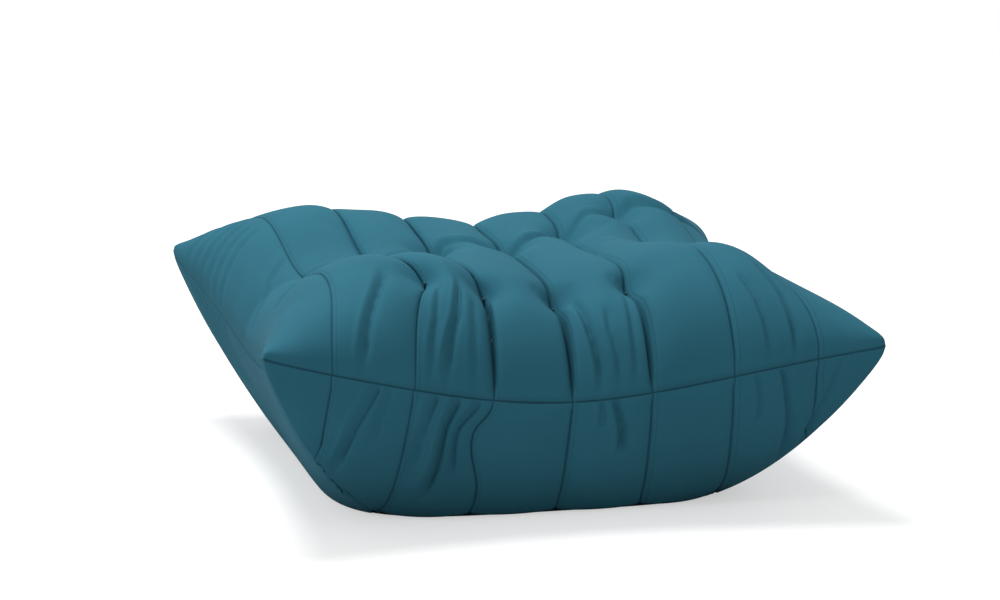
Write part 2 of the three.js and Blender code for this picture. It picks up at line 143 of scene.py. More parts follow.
@dataclass(frozen=True)
class Dent:
    """A broad place where the cover lies lower than the smooth body, or higher if negative.

    Its middle and its spread are shares of the half width and half depth.
    """

    middle: tuple[float, float]
    spread: tuple[float, float]
    depth: float

    def amount(self, u: Array, v: Array) -> Array:
        """The dent at each point.

        Args:
            u: Shares of the half width.
            v: Shares of the half depth.

        Returns:
            Depths in millimetres.
        """
        across = (u - self.middle[0]) / self.spread[0]
        along = (v - self.middle[1]) / self.spread[1]
        return self.depth * np.exp(-(across**2) - along**2)


@dataclass(frozen=True)
class Layout:
    """Sizes of the cushion in millimetres, as its solids have them."""

    width: float = 870
    depth: float = 800
    waist: float = 178
    ear: float = 256
    crown: float = 330
    swell: float = 52
    swell_start: float = 0.6
    side_bow: float = 60
    front_bow: float = 55
    blunting: float = 0.03
    base_width: float = 600
    base_depth: float = 552
    front_squareness: float = 4
    rear_squareness: float = 8
    pitch: float = 111
    outer_seam: int = 3
    groove: float = 24
    groove_fade: float = 2
    tuft_depth: float = 28
    tuft_reach: float = 30
    core_share: float = 0.55
    core_height: float = 120
    seam_pull: float = 28
    seam_pull_spread: float = 0.2
    pulled_seam: int = 2
    row_along: float = 0.68
    band_share: float = 224 / 300
    band_fade: float = 0.2
    band_reach: float = 46.4
    ear_lifts: tuple[float, float, float, float] = (12, -9, -9, 1)
    zip_length: float = 400
    window: float = 31
    seam_spread: float = 0.088

    @property
    def half_width(self) -> float:
        """Half the width before the ears are blunted."""
        return self.width / 2 / (1 - self.blunting)

    @property
    def half_depth(self) -> float:
        """Half the depth before the ears are blunted."""
        return self.depth / 2 / (1 - self.blunting)

    @property
    def seam_step(self) -> float:
        """One channel as a share of the half width."""
        return self.pitch / (self.width / 2)

    @property
    def seams(self) -> range:
        """The channel seams, numbered from left to right, 0 in the middle."""
        return range(-self.outer_seam, self.outer_seam + 1)


@dataclass(frozen=True)
class Tuft:
    """A place where a tie pulls the cover down: a seam's number and a share of the half depth."""

    seam: int
    along: float


TUFTS = (
    *(Tuft(seam, -Layout.row_along) for seam in (-2, -1, 0, 1)),
    Tuft(-1, 0.05),
    Tuft(0, 0.05),
    Tuft(1, 0.21),
    Tuft(2, 0.36),
    *(Tuft(seam, Layout.row_along) for seam in (-1, 0, 1, 2)),
)


class Body:
    """The surface that the covers follow."""

    def __init__(self, layout: Layout) -> None:
        """Args:
        layout: The cushion's sizes.
        """
        self.layout = layout
        self.tufts = [self.crown(t.seam * layout.seam_step, t.along)[0] for t in TUFTS]

    def drawn_in(self, u: Array, v: Array) -> Array:
        """Where points lie once the outermost tufts have pulled their seams inwards.

        Args:
            u: Shares of the half width.
            v: Shares of the half depth.

        Returns:
            New shares of the half width.
        """
        size = self.layout
        side = np.sign(v)
        across = (u * side - size.pulled_seam * size.seam_step) / size.seam_pull_spread
        along = (v * side - size.row_along) / size.seam_pull_spread
        return u - side * size.seam_pull / size.half_width * np.exp(-(across**2) - along**2)

    def waist_height(self, u: Array, v: Array) -> Array:
        """Heights of the waist, which rises towards the ears.

        Args:
            u: Shares of the half width.
            v: Shares of the half depth.

        Returns:
            Heights in millimetres.
        """
        corner = np.abs(u * v)
        size = self.layout
        front_left, front_right, rear_right, rear_left = size.ear_lifts
        left, right = np.where(u < 0, corner, 0), np.where(u >= 0, corner, 0)
        lift = np.where(v < 0, front_left * left + front_right * right, rear_left * left)
        lift += np.where(v >= 0, rear_right * right, 0)
        return size.waist + (size.ear - size.waist) * corner**2 * (2 - corner) + lift * corner**2

    def crown(self, u: Array, v: Array) -> tuple[Array, Array]:
        """The smooth body above the waist.

        Args:
            u: Shares of the half width.
            v: Shares of the half depth.

        Returns:
            The points, and how far each has risen from the waist, from 0 to 1.
        """
        size = self.layout
        corner = np.abs(u * v)
        blunt = 1 - size.blunting * corner**12
        x = self.drawn_in(u, v) * (size.half_width - size.side_bow * (1 - v * v) * u * u) * blunt
        y = v * (size.half_depth - size.front_bow * (1 - u * u) * v * v) * blunt
        waist = self.waist_height(u, v)
        rise = np.sqrt(np.clip((1 - u**4) * (1 - v**4), 0, 1))
        swollen = ease(np.abs(u) / size.swell_start) * ease(np.abs(v) / size.swell_start)
        top = size.crown + size.swell * swollen
        return np.stack([x, y, waist + (top - waist) * rise], -1), rise

    def outward(self, points: Array) -> Array:
        """The directions that lead out of the body.

        Args:
            points: Points in millimetres.

        Returns:
            A unit vector for each point.
        """
        share = 1 - self.layout.core_share
        above = np.clip(points[..., 2] - self.layout.core_height, 0, None)
        away = np.stack([points[..., 0] * share, points[..., 1] * share, above], -1)
        return away / np.linalg.norm(away, axis=-1, keepdims=True)

    def lower(self, u: Array, v: Array, w: Array) -> Array:
        """Points below the waist.

        Args:
            u: Shares of the half width; u or v is 1 or -1.
            v: Shares of the half depth.
            w: From 0 at the waist seam to 1 on the floor.

        Returns:
            The points.
        """
        size = self.layout
        point, _ = self.crown(u, v)
        square = np.where(v > 0, size.rear_squareness, size.front_squareness)
        reach = (np.abs(u) ** square + np.abs(v) ** square) ** (-1 / square)
        base_x, base_y = size.base_width / 2 * u * reach, size.base_depth / 2 * v * reach
        down = fallen(w)
        upright = np.clip(down / (1 - size.band_reach / point[..., 2]), 0, 1)
        rear = np.where(v >= 1, 1 - ease((np.abs(u) - size.band_share) / size.band_fade), 0)
        inward = drawn_under(w) * (1 - rear) + drawn_under(upright) * rear
        x = point[..., 0] + (base_x - point[..., 0]) * inward
        y = point[..., 1] + (base_y - point[..., 1]) * inward
        return np.stack([x, y, point[..., 2] * (1 - down)], -1)

    def seam_offset(self, u: Array) -> tuple[Array, Array]:
        """The channel seam nearest to each point.

        Args:
            u: Shares of the half width.

        Returns:
            The seam's number, and how far off it is, in channels up to a half.
        """
        place = u / self.layout.seam_step
        outer = self.layout.outer_seam
        seam = np.clip(np.round(place), -outer, outer)
        return seam, np.clip(np.abs(place - seam), 0, 0.5)


# ---- Cloth ----------------------------------------------------------------------------------


def corners(grid: Array) -> Array:
    """The values at the four corners of each cell of a grid, in the order that faces use."""
    return np.stack([grid[:-1, :-1], grid[1:, :-1], grid[1:, 1:], grid[:-1, 1:]], 2)


@dataclass
class Panel:
    """A sewn panel of cloth: grids of columns by rows."""

    points: Array
    smooth: Array
    folds: Array
    uv: Array
    seam: Array
    hold: Array
    kept: Array

    def turned(self) -> "Panel":
        """The same panel with its columns in the opposite order."""
        return Panel(*(getattr(self, item.name)[::-1] for item in fields(self)))


@dataclass
class Patch:
    """A grid of cloth points, columns by rows. A ring's last column joins its first.

    Its points start from the smooth body. Its folds are the depth that is creased in at the end.
    """

    name: str
    points: Array
    smooth: Array
    folds: Array
    cell_uv: Array
    ring: bool
    hold: Array
    seam: Array
    kept: Array
    stretch: tuple[float, float, float] = (1.05, 1.02, 1.02)

    def faces(self) -> Array:
        """The faces that are kept, facing out.

        Returns:
            Four corner numbers a row.
        """
        columns, rows = self.points.shape[:2]
        number = np.arange(columns * rows).reshape(columns, rows)
        if self.ring:
            number = np.concatenate([number, number[:1]])
        return corners(number)[self.kept]


def mesh_object(name: str, points: Array, faces: Array) -> bpy.types.Object:
    """A new mesh object in the scene.

    Args:
        name: Its name.
        points: One point a row, in millimetres.
        faces: Four corner numbers a row.

    Returns:
        The object, at the origin.
    """
    mesh = bpy.data.meshes.new(name)
    mesh.from_pydata((points.reshape(-1, 3) * MM).tolist(), [], faces.tolist())
    mesh.validate()
    made = bpy.data.objects.new(name, mesh)
    bpy.context.scene.collection.objects.link(made)
    return made


def apply_modifiers(piece: bpy.types.Object) -> None:
    """Makes a piece's modifiers part of its mesh.

    Args:
        piece: The piece.
    """
    bpy.ops.object.select_all(action="DESELECT")
    bpy.context.view_layer.objects.active = piece
    piece.select_set(True)
    for modifier in list(piece.modifiers):
        bpy.ops.object.modifier_apply(modifier=modifier.name)
    piece.select_set(False)


def rest_on_floor(piece: bpy.types.Object) -> None:
    """Lifts any point of a piece that has sunk below the floor.

    Args:
        piece: The piece.
    """
    places = np.empty(len(piece.data.vertices) * 3, np.float32)
    piece.data.vertices.foreach_get("co", places)
    places[2::3] = np.maximum(places[2::3], 0)
    piece.data.vertices.foreach_set("co", places)
    piece.data.update()


@dataclass(frozen=True)
class ClothRun:
    """How a patch is inflated: the cloth is cut larger than the body, and pressed out."""

    frames: int = 18
    pressure: float = 4.0
    cap: float = 12.0
    quality: int = 6
    mass: float = 0.25
    bending: float = 0.4
    tension: float = 12.0
    shear: float = 4.0
    damping: float = 8.0
    air_damping: float = 3.0
    grip: float = 6.0
    hold_steps: int = 10

    def settle(self, patch: Patch) -> Array:
        """Runs the cloth on a copy of the patch.

        Args:
            patch: The cloth and where it is held.

        Returns:
            Its points once it has settled, none moved further than the cap.
        """
        trial = self.trial(patch)
        modifier = trial.modifiers.new("cloth", "CLOTH")
        self.set_up(modifier, trial.data.shape_keys.key_blocks["cut"])
        scene = bpy.context.scene
        for step in range(1, self.frames + 1):
            scene.frame_set(step)
        graph = bpy.context.evaluated_depsgraph_get()
        done = trial.evaluated_get(graph).data
        found = np.empty(len(done.vertices) * 3, np.float32)
        done.vertices.foreach_get("co", found)
        settled = found.reshape(patch.points.shape) / MM
        bpy.data.objects.remove(trial)
        scene.frame_set(1)
        moved = settled - patch.points
        reach = np.linalg.norm(moved, axis=-1, keepdims=True)
        log.info("%s moved up to %.1f mm", patch.name, float(reach.max()))
        return patch.points + moved * np.tanh(reach / self.cap) * self.cap / np.maximum(reach, 1e-6)

    def trial(self, patch: Patch) -> bpy.types.Object:
        """A copy of a patch, with the points that are held and the size it is cut to.

        Args:
            patch: The cloth and where it is held.

        Returns:
            The copy.
        """
        trial = mesh_object(patch.name + "_trial", patch.points, patch.faces())
        held = trial.vertex_groups.new(name="held")
        weights = patch.hold.reshape(-1)
        for step in range(1, self.hold_steps + 1):
            chosen = np.nonzero(np.round(weights * self.hold_steps) == step)[0].tolist()
            if chosen:
                held.add(chosen, step / self.hold_steps, "REPLACE")
        trial.shape_key_add(name="Basis")
        cut = trial.shape_key_add(name="cut")
        larger = patch.points.reshape(-1, 3) * MM * np.array(patch.stretch)
        cut.data.foreach_set("co", larger.astype(np.float32).ravel())
        cut.value = 0
        return trial

    def set_up(self, modifier: bpy.types.ClothModifier, cut: bpy.types.ShapeKey) -> None:
        """Gives the cloth its settings.

        Args:
            modifier: The cloth.
            cut: The shape that it is cut to.
        """
        cloth = modifier.settings
        cloth.quality = self.quality
        cloth.mass = self.mass
        cloth.tension_stiffness = cloth.compression_stiffness = self.tension
        cloth.shear_stiffness = self.shear
        cloth.bending_stiffness = self.bending
        cloth.tension_damping = cloth.compression_damping = self.damping
        cloth.air_damping = self.air_damping
        cloth.use_pressure = True
        cloth.uniform_pressure_force = self.pressure
        cloth.vertex_group_mass = "held"
        cloth.pin_stiffness = self.grip
        cloth.rest_shape_key = cut
        cloth.effector_weights.gravity = 0
        modifier.collision_settings.use_collision = False
        modifier.point_cache.frame_start = 1
        modifier.point_cache.frame_end = self.frames


# ---- Materials ------------------------------------------------------------------------------


class Nodes:
    """A short way to write node trees."""

    def __init__(self, tree: bpy.types.NodeTree) -> None:
        """Args:
        tree: The tree that nodes are added to.
        """
        self.tree = tree

    def add(self, kind: str, **inputs: object) -> bpy.types.Node:
        """Adds a node.

        Args:
            kind: The node's type name.
            **inputs: Settings of the node, or values and sockets of inputs named with
                underscores for spaces.

        Returns:
            The node.
        """
        node = self.tree.nodes.new(kind)
        sockets = {s.name.lower().replace(" ", "_"): s for s in reversed(node.inputs)}
        for name, value in inputs.items():
            if name.startswith("set_"):
                setattr(node, name[4:], value)
            elif isinstance(value, bpy.types.NodeSocket):
                self.tree.links.new(value, sockets[name])
            else:
                sockets[name].default_value = value
        return node

    def math(self, operation: str, first: object, second: object = 0.0) -> bpy.types.NodeSocket:
        """A math node.

        Args:
            operation: Its operation.
            first: Its first value or socket.
            second: Its second value or socket, which some operations leave out.

        Returns:
            Its result.
        """
        node = self.tree.nodes.new("ShaderNodeMath")
        node.operation = operation
        for socket, value in zip(node.inputs, (first, second)):
            if isinstance(value, bpy.types.NodeSocket):
                self.tree.links.new(value, socket)
            else:
                socket.default_value = value
        return node.outputs[0]

    def ramp(self, value: object, low: float, high: float) -> bpy.types.NodeSocket:
        """A value spread from 0 at low to 1 at high, and held between them."""
        node = self.add("ShaderNodeMapRange", value=value, from_min=low, from_max=high)
        return node.outputs[0]

    def mix(self, factor: object, first: object, second: object) -> bpy.types.NodeSocket:
        """A colour between two colours.

        Args:
            factor: 0 for the first colour and 1 for the second, as a value or socket.
            first: The first colour or socket.
            second: The second colour or socket.

        Returns:
            The mixed colour.
        """
        node = self.tree.nodes.new("ShaderNodeMix")
        node.data_type = "RGBA"
        for index, value in ((0, factor), (6, first), (7, second)):
            if isinstance(value, bpy.types.NodeSocket):
                self.tree.links.new(value, node.inputs[index])
            else:
                node.inputs[index].default_value = value
        return node.outputs[2]


class Effect(Enum):
    """Shared effects, each one node group."""

    MOTTLE = "mottle"
    WEAVE = "weave"
    SEAM_LINES = "seam_lines"
    PORES = "pores"


@dataclass
class Effects:
    """Makes each shared effect once, as a node group that puts out values only.

    Texture scales are per metre. Sizes of seams and stitches are millimetres. A pair named
    edges is where a mark starts to fade and where it has gone.
    """

    layout: Layout
    nap_patches: float = 9.0
    nap_grain: float = 900.0
    threads: float = 420.0
    slubs: float = 60.0
    cells: float = 700.0
    cell_patches: float = 20.0
    line_edges: tuple[float, float] = (0.4, 1.5)
    waist_edges: tuple[float, float] = (0.5, 1.5)
    stitch_row: float = 6.5
    stitch_edges: tuple[float, float] = (0.25, 0.7)
    stitch_step: float = 3.6
    stitch_gap: tuple[float, float] = (0.06, 0.16)
    finished: dict[str, bpy.types.Material] = field(default_factory=dict)

    def group(self, effect: Effect) -> bpy.types.NodeTree:
        """The node group of an effect.

        Args:
            effect: Which effect.

        Returns:
            Its node group, made on first use.
        """
        found = bpy.data.node_groups.get(effect.value)
        if found:
            return found
        tree = bpy.data.node_groups.new(effect.value, "ShaderNodeTree")
        tree.interface.new_socket("Vector", in_out="INPUT", socket_type="NodeSocketVector")
        tree.interface.new_socket("Value", in_out="OUTPUT", socket_type="NodeSocketFloat")
        tree.interface.new_socket("Mask", in_out="OUTPUT", socket_type="NodeSocketFloat")
        nodes = Nodes(tree)
        vector = nodes.add("NodeGroupInput").outputs[0]
        makers = {
            Effect.MOTTLE: self._mottle,
            Effect.WEAVE: self._weave,
            Effect.SEAM_LINES: self._seam_lines,
            Effect.PORES: self._pores,
        }
        value, mask = makers[effect](nodes, vector)
        out = nodes.add("NodeGroupOutput")
        tree.links.new(value, out.inputs[0])
        tree.links.new(mask, out.inputs[1])
        return tree

    def _mottle(self, nodes: Nodes, vector: bpy.types.NodeSocket) -> tuple:
        """Soft patches of pile brushed one way or another, and a fine grain.

        Args:
            nodes: The group's nodes.
            vector: The place that the pattern follows.

        Returns:
            The patches and the grain.
        """
        noise = "ShaderNodeTexNoise"
        broad = nodes.add(noise, vector=vector, scale=self.nap_patches, detail=3.0)
        fine = nodes.add(noise, vector=vector, scale=self.nap_grain, detail=2.0)
        return broad.outputs[0], fine.outputs[0]

    def _weave(self, nodes: Nodes, vector: bpy.types.NodeSocket) -> tuple:
        """Crossed threads.

        Args:
            nodes: The group's nodes.
            vector: The place that the pattern follows.

        Returns:
            The height of the threads, and uneven patches of their colour.
        """
        height = 0.0
        for way in "XYZ":
            wave = nodes.add("ShaderNodeTexWave", vector=vector, scale=self.threads)
            wave.bands_direction = way
            height = nodes.math("ADD", height, wave.outputs[1])
        patches = nodes.add("ShaderNodeTexNoise", vector=vector, scale=self.slubs, detail=4.0)
        return height, patches.outputs[0]

    def _seam_lines(self, nodes: Nodes, vector: bpy.types.NodeSocket) -> tuple:
        """The lines along the covers' seams, which the velvet both dents and darkens as painted
        shade, and the topstitching.

        Args:
            nodes: The group's nodes.
            vector: Its place on the pattern: across the channels, and down from the waist.

        Returns:
            The lines of the channel seams and the waist, where the velvet paints shade, and the
            stitches beside each seam, which are thread with painted shade in their groove.
        """
        split = nodes.add("ShaderNodeSeparateXYZ", vector=vector)
        place = nodes.math("DIVIDE", split.outputs[0], self.layout.pitch * MM)
        near = nodes.math("SUBTRACT", place, nodes.math("ROUND", place))
        signed = nodes.math("MULTIPLY", near, self.layout.pitch)
        away = nodes.math("ABSOLUTE", signed)
        line = nodes.math("SUBTRACT", 1.0, nodes.ramp(away, *self.line_edges))
        start, end = (edge * MM for edge in self.waist_edges)
        waist = nodes.math("SUBTRACT", 1.0, nodes.ramp(split.outputs[1], start, end))
        line = nodes.math("MAXIMUM", line, waist)
        row = nodes.math("ABSOLUTE", nodes.math("SUBTRACT", signed, self.stitch_row))
        row = nodes.math("SUBTRACT", 1.0, nodes.ramp(row, *self.stitch_edges))
        dash = nodes.math("DIVIDE", split.outputs[1], self.stitch_step * MM)
        dash = nodes.math("PINGPONG", nodes.math("FRACT", dash), 0.5)
        dash = nodes.ramp(dash, *self.stitch_gap)
        return line, nodes.math("MULTIPLY", row, dash)

    def _pores(self, nodes: Nodes, vector: bpy.types.NodeSocket) -> tuple:
        """Open cells.

        Args:
            nodes: The group's nodes.
            vector: The place that the pattern follows.

        Returns:
            The height of the cells, and broad patches of their colour.
        """
        cells = nodes.add("ShaderNodeTexVoronoi", vector=vector, scale=self.cells)
        noise = "ShaderNodeTexNoise"
        patches = nodes.add(noise, vector=vector, scale=self.cell_patches, detail=3.0)
        return cells.outputs[0], patches.outputs[0]


class Source(Enum):
    """What a finish's pattern follows."""

    OBJECT = "Object"
    UV = "UV"


@dataclass(frozen=True)
class Finish:
    """A material with one shared effect as its relief and its variation of colour."""

    name: str
    colour: Colour
    roughness: float
    effect: Effect = Effect.WEAVE
    relief: float = 0.3
    variation: float = 0.15
    metallic: float = 0.0
    sheen: float = 0.0
    patch_edges: tuple[float, float] = (0.3, 0.7)
    relief_height: float = 0.0004

    def shades(self) -> tuple[Colour, Colour]:
        """The two colours that the finish varies between.

        Returns:
            The darker one and the lighter one.
        """
        dark = tuple(c * (1 - self.variation) for c in self.colour[:3])
        light = tuple(min(1.0, c * (1 + self.variation)) for c in self.colour[:3])
        return (*dark, 1.0), (*light, 1.0)

    def material(self, effects: Effects) -> bpy.types.Material:
        """The material.

        Args:
            effects: Where its shared effect comes from.

        Returns:
            The material, made on first use.
        """
        found = effects.finished.get(self.name)
        if found:
            return found
        made = bpy.data.materials.new(self.name + "_finish")
        effects.finished[self.name] = made
        made.use_nodes = True
        nodes = Nodes(made.node_tree)
        shader = made.node_tree.nodes["Principled BSDF"]
        self.wire(nodes, shader, effects)
        return made

    def shared(self, nodes: Nodes, effects: Effects, effect: Effect, source: Source) -> tuple:
        """The outputs of a shared effect put into a material.

        Args:
            nodes: The material's nodes.
            effects: Where the effect comes from.
            effect: Which effect.
            source: What its pattern follows.

        Returns:
            Its value and its mask.
        """
        vector = nodes.add("ShaderNodeTexCoord").outputs[source.value]
        node = nodes.tree.nodes.new("ShaderNodeGroup")
        node.node_tree = effects.group(effect)
        nodes.tree.links.new(vector, node.inputs[0])
        return node.outputs[0], node.outputs[1]

    def wire(self, nodes: Nodes, shader: bpy.types.Node, effects: Effects) -> None:
        """Joins the finish's nodes to its shader.

        Args:
            nodes: The material's nodes.
            shader: Its Principled node.
            effects: Where shared effects come from.
        """
        value, mask = self.shared(nodes, effects, self.effect, Source.OBJECT)
        colour = nodes.mix(nodes.ramp(mask, *self.patch_edges), *self.shades())
        nodes.tree.links.new(colour, shader.inputs["Base Color"])
        shader.inputs["Roughness"].default_value = self.roughness
        shader.inputs["Metallic"].default_value = self.metallic
        shader.inputs["Sheen Weight"].default_value = self.sheen
        bump = nodes.add("ShaderNodeBump", height=value, strength=self.relief)
        bump.inputs["Distance"].default_value = self.relief_height
        nodes.tree.links.new(bump.outputs[0], shader.inputs["Normal"])


@dataclass(frozen=True)
class Velvet(Finish):
    """Short pile with a painted sheen that lightens it where it is seen at a low angle, and painted
    shade along its sewn seam lines and topstitching.
    """

    # This colour is painted into the base colour as a painted sheen where the pile is seen at a
    # grazing angle. It is also the shader's sheen tint.
    rim: Colour = rgb(92, 160, 176)
    rim_blend: float = 0.35
    rim_power: float = 2.0
    rim_share: float = 0.05
    # The dark colour painted along the seam lines and the waist line as painted shade in their
    # creases, and along the topstitching as thread with painted shade in its groove.
    stitch: Colour = rgb(24, 62, 76)
    mark_share: float = 0.65
    stitch_share: float = 0.4
    specular: float = 0.06
    sheen_roughness: float = 0.35
    grain_relief: float = 0.25
    stitch_relief: float = 0.5

    def wire(self, nodes: Nodes, shader: bpy.types.Node, effects: Effects) -> None:
        """Joins the finish's nodes to its shader.

        Args:
            nodes: The material's nodes.
            shader: Its Principled node.
            effects: Where shared effects come from.
        """
        broad, fine = self.shared(nodes, effects, Effect.MOTTLE, Source.OBJECT)
        line, stitches = self.shared(nodes, effects, Effect.SEAM_LINES, Source.UV)
        pile = nodes.mix(nodes.ramp(broad, *self.patch_edges), *self.shades())
        # Painted sheen: the base colour is lightened towards the sheen colour where the surface is
        # seen at a grazing angle.
        facing = nodes.add("ShaderNodeLayerWeight", blend=self.rim_blend).outputs["Facing"]
        edge = nodes.math("POWER", facing, self.rim_power)
        pile = nodes.mix(nodes.math("MULTIPLY", edge, self.rim_share), pile, self.rim)
        # Painted shade along the seam lines and the waist line, plus thread with painted shade
        # along the topstitching, all mixed in with the dark seam-shade colour.
        mark = nodes.math("MAXIMUM", line, nodes.math("MULTIPLY", stitches, self.stitch_share))
        mark = nodes.math("MULTIPLY", mark, self.mark_share)
        nodes.tree.links.new(nodes.mix(mark, pile, self.stitch), shader.inputs["Base Color"])
        shader.inputs["Roughness"].default_value = self.roughness
        shader.inputs["Specular IOR Level"].default_value = self.specular
        shader.inputs["Sheen Weight"].default_value = self.sheen
        shader.inputs["Sheen Roughness"].default_value = self.sheen_roughness
        shader.inputs["Sheen Tint"].default_value = self.rim
        height = nodes.math("SUBTRACT", nodes.math("MULTIPLY", fine, self.grain_relief), line)
        sunk = nodes.math("MULTIPLY", stitches, self.stitch_relief)
        height = nodes.math("SUBTRACT", height, sunk)
        bump = nodes.add("ShaderNodeBump", height=height, strength=self.relief)
        bump.inputs["Distance"].default_value = self.relief_height
        nodes.tree.links.new(bump.outputs[0], shader.inputs["Normal"])


VELVET = Velvet(
    "velvet",
    rgb(41, 94, 111),
    0.85,
    relief=0.6,
    variation=0.05,
    sheen=0.03,
    relief_height=0.0012,
)
WADDING = Finish("wadding", rgb(233, 231, 224), 0.95, Effect.PORES, 0.8, 0.03)
SOFT_FOAM = Finish("soft_foam", rgb(239, 227, 180), 0.9, Effect.PORES, 0.6, 0.05)
MEDIUM_FOAM = Finish("medium_foam", rgb(217, 201, 140), 0.9, Effect.PORES, 0.6, 0.05)
FIRM_FOAM = Finish("firm_foam", rgb(159, 176, 166), 0.9, Effect.PORES, 0.6, 0.1)
DUST_CLOTH = Finish("dust_cloth", rgb(27, 28, 30), 0.95, Effect.WEAVE, 0.6, 0.2)
ZIP_CLOTH = Finish("zip_cloth", rgb(26, 70, 84), 0.8, Effect.WEAVE, 0.6, 0.1)
ZIP_PLASTIC = Finish("zip_plastic", rgb(28, 76, 90), 0.4, Effect.MOTTLE, 0.05, 0.1)
TWINE = Finish("twine", rgb(30, 78, 94), 0.8, Effect.WEAVE, 0.6, 0.1)
WASHER = Finish("washer_plastic", rgb(220, 220, 214), 0.5, Effect.MOTTLE, 0.05, 0.03)
METAL = Finish("zip_metal", rgb(141, 144, 148), 0.35, Effect.MOTTLE, 0.08, 0.1, metallic=1.0)


# ---- Sub-assemblies -------------------------------------------------------------------------


def finish_piece(piece: bpy.types.Object, material: bpy.types.Material) -> None:
    """Gives a piece its material and smooth shading, and lets it ride on the cushion.

    Args:
        piece: The piece.
        material: Its material.
    """
    piece.data.materials.clear()
    piece.data.materials.append(material)
    piece.data.polygons.foreach_set("use_smooth", [True] * len(piece.data.polygons))
    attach(piece, "cushion")


@dataclass
class SeamRow:
    """One row of points across a seamed panel of the lower cover.

    Its place is measured across the panel in millimetres, before the panel widens upwards. Its
    share is 0 at the waist and 1 on the floor. Clear is 0 where the outermost seam has run into
    the corner and 1 where it is well away from it.
    """

    points: Array
    place: Array
    share: Array
    waist: Array
    across: Array
    clear: float


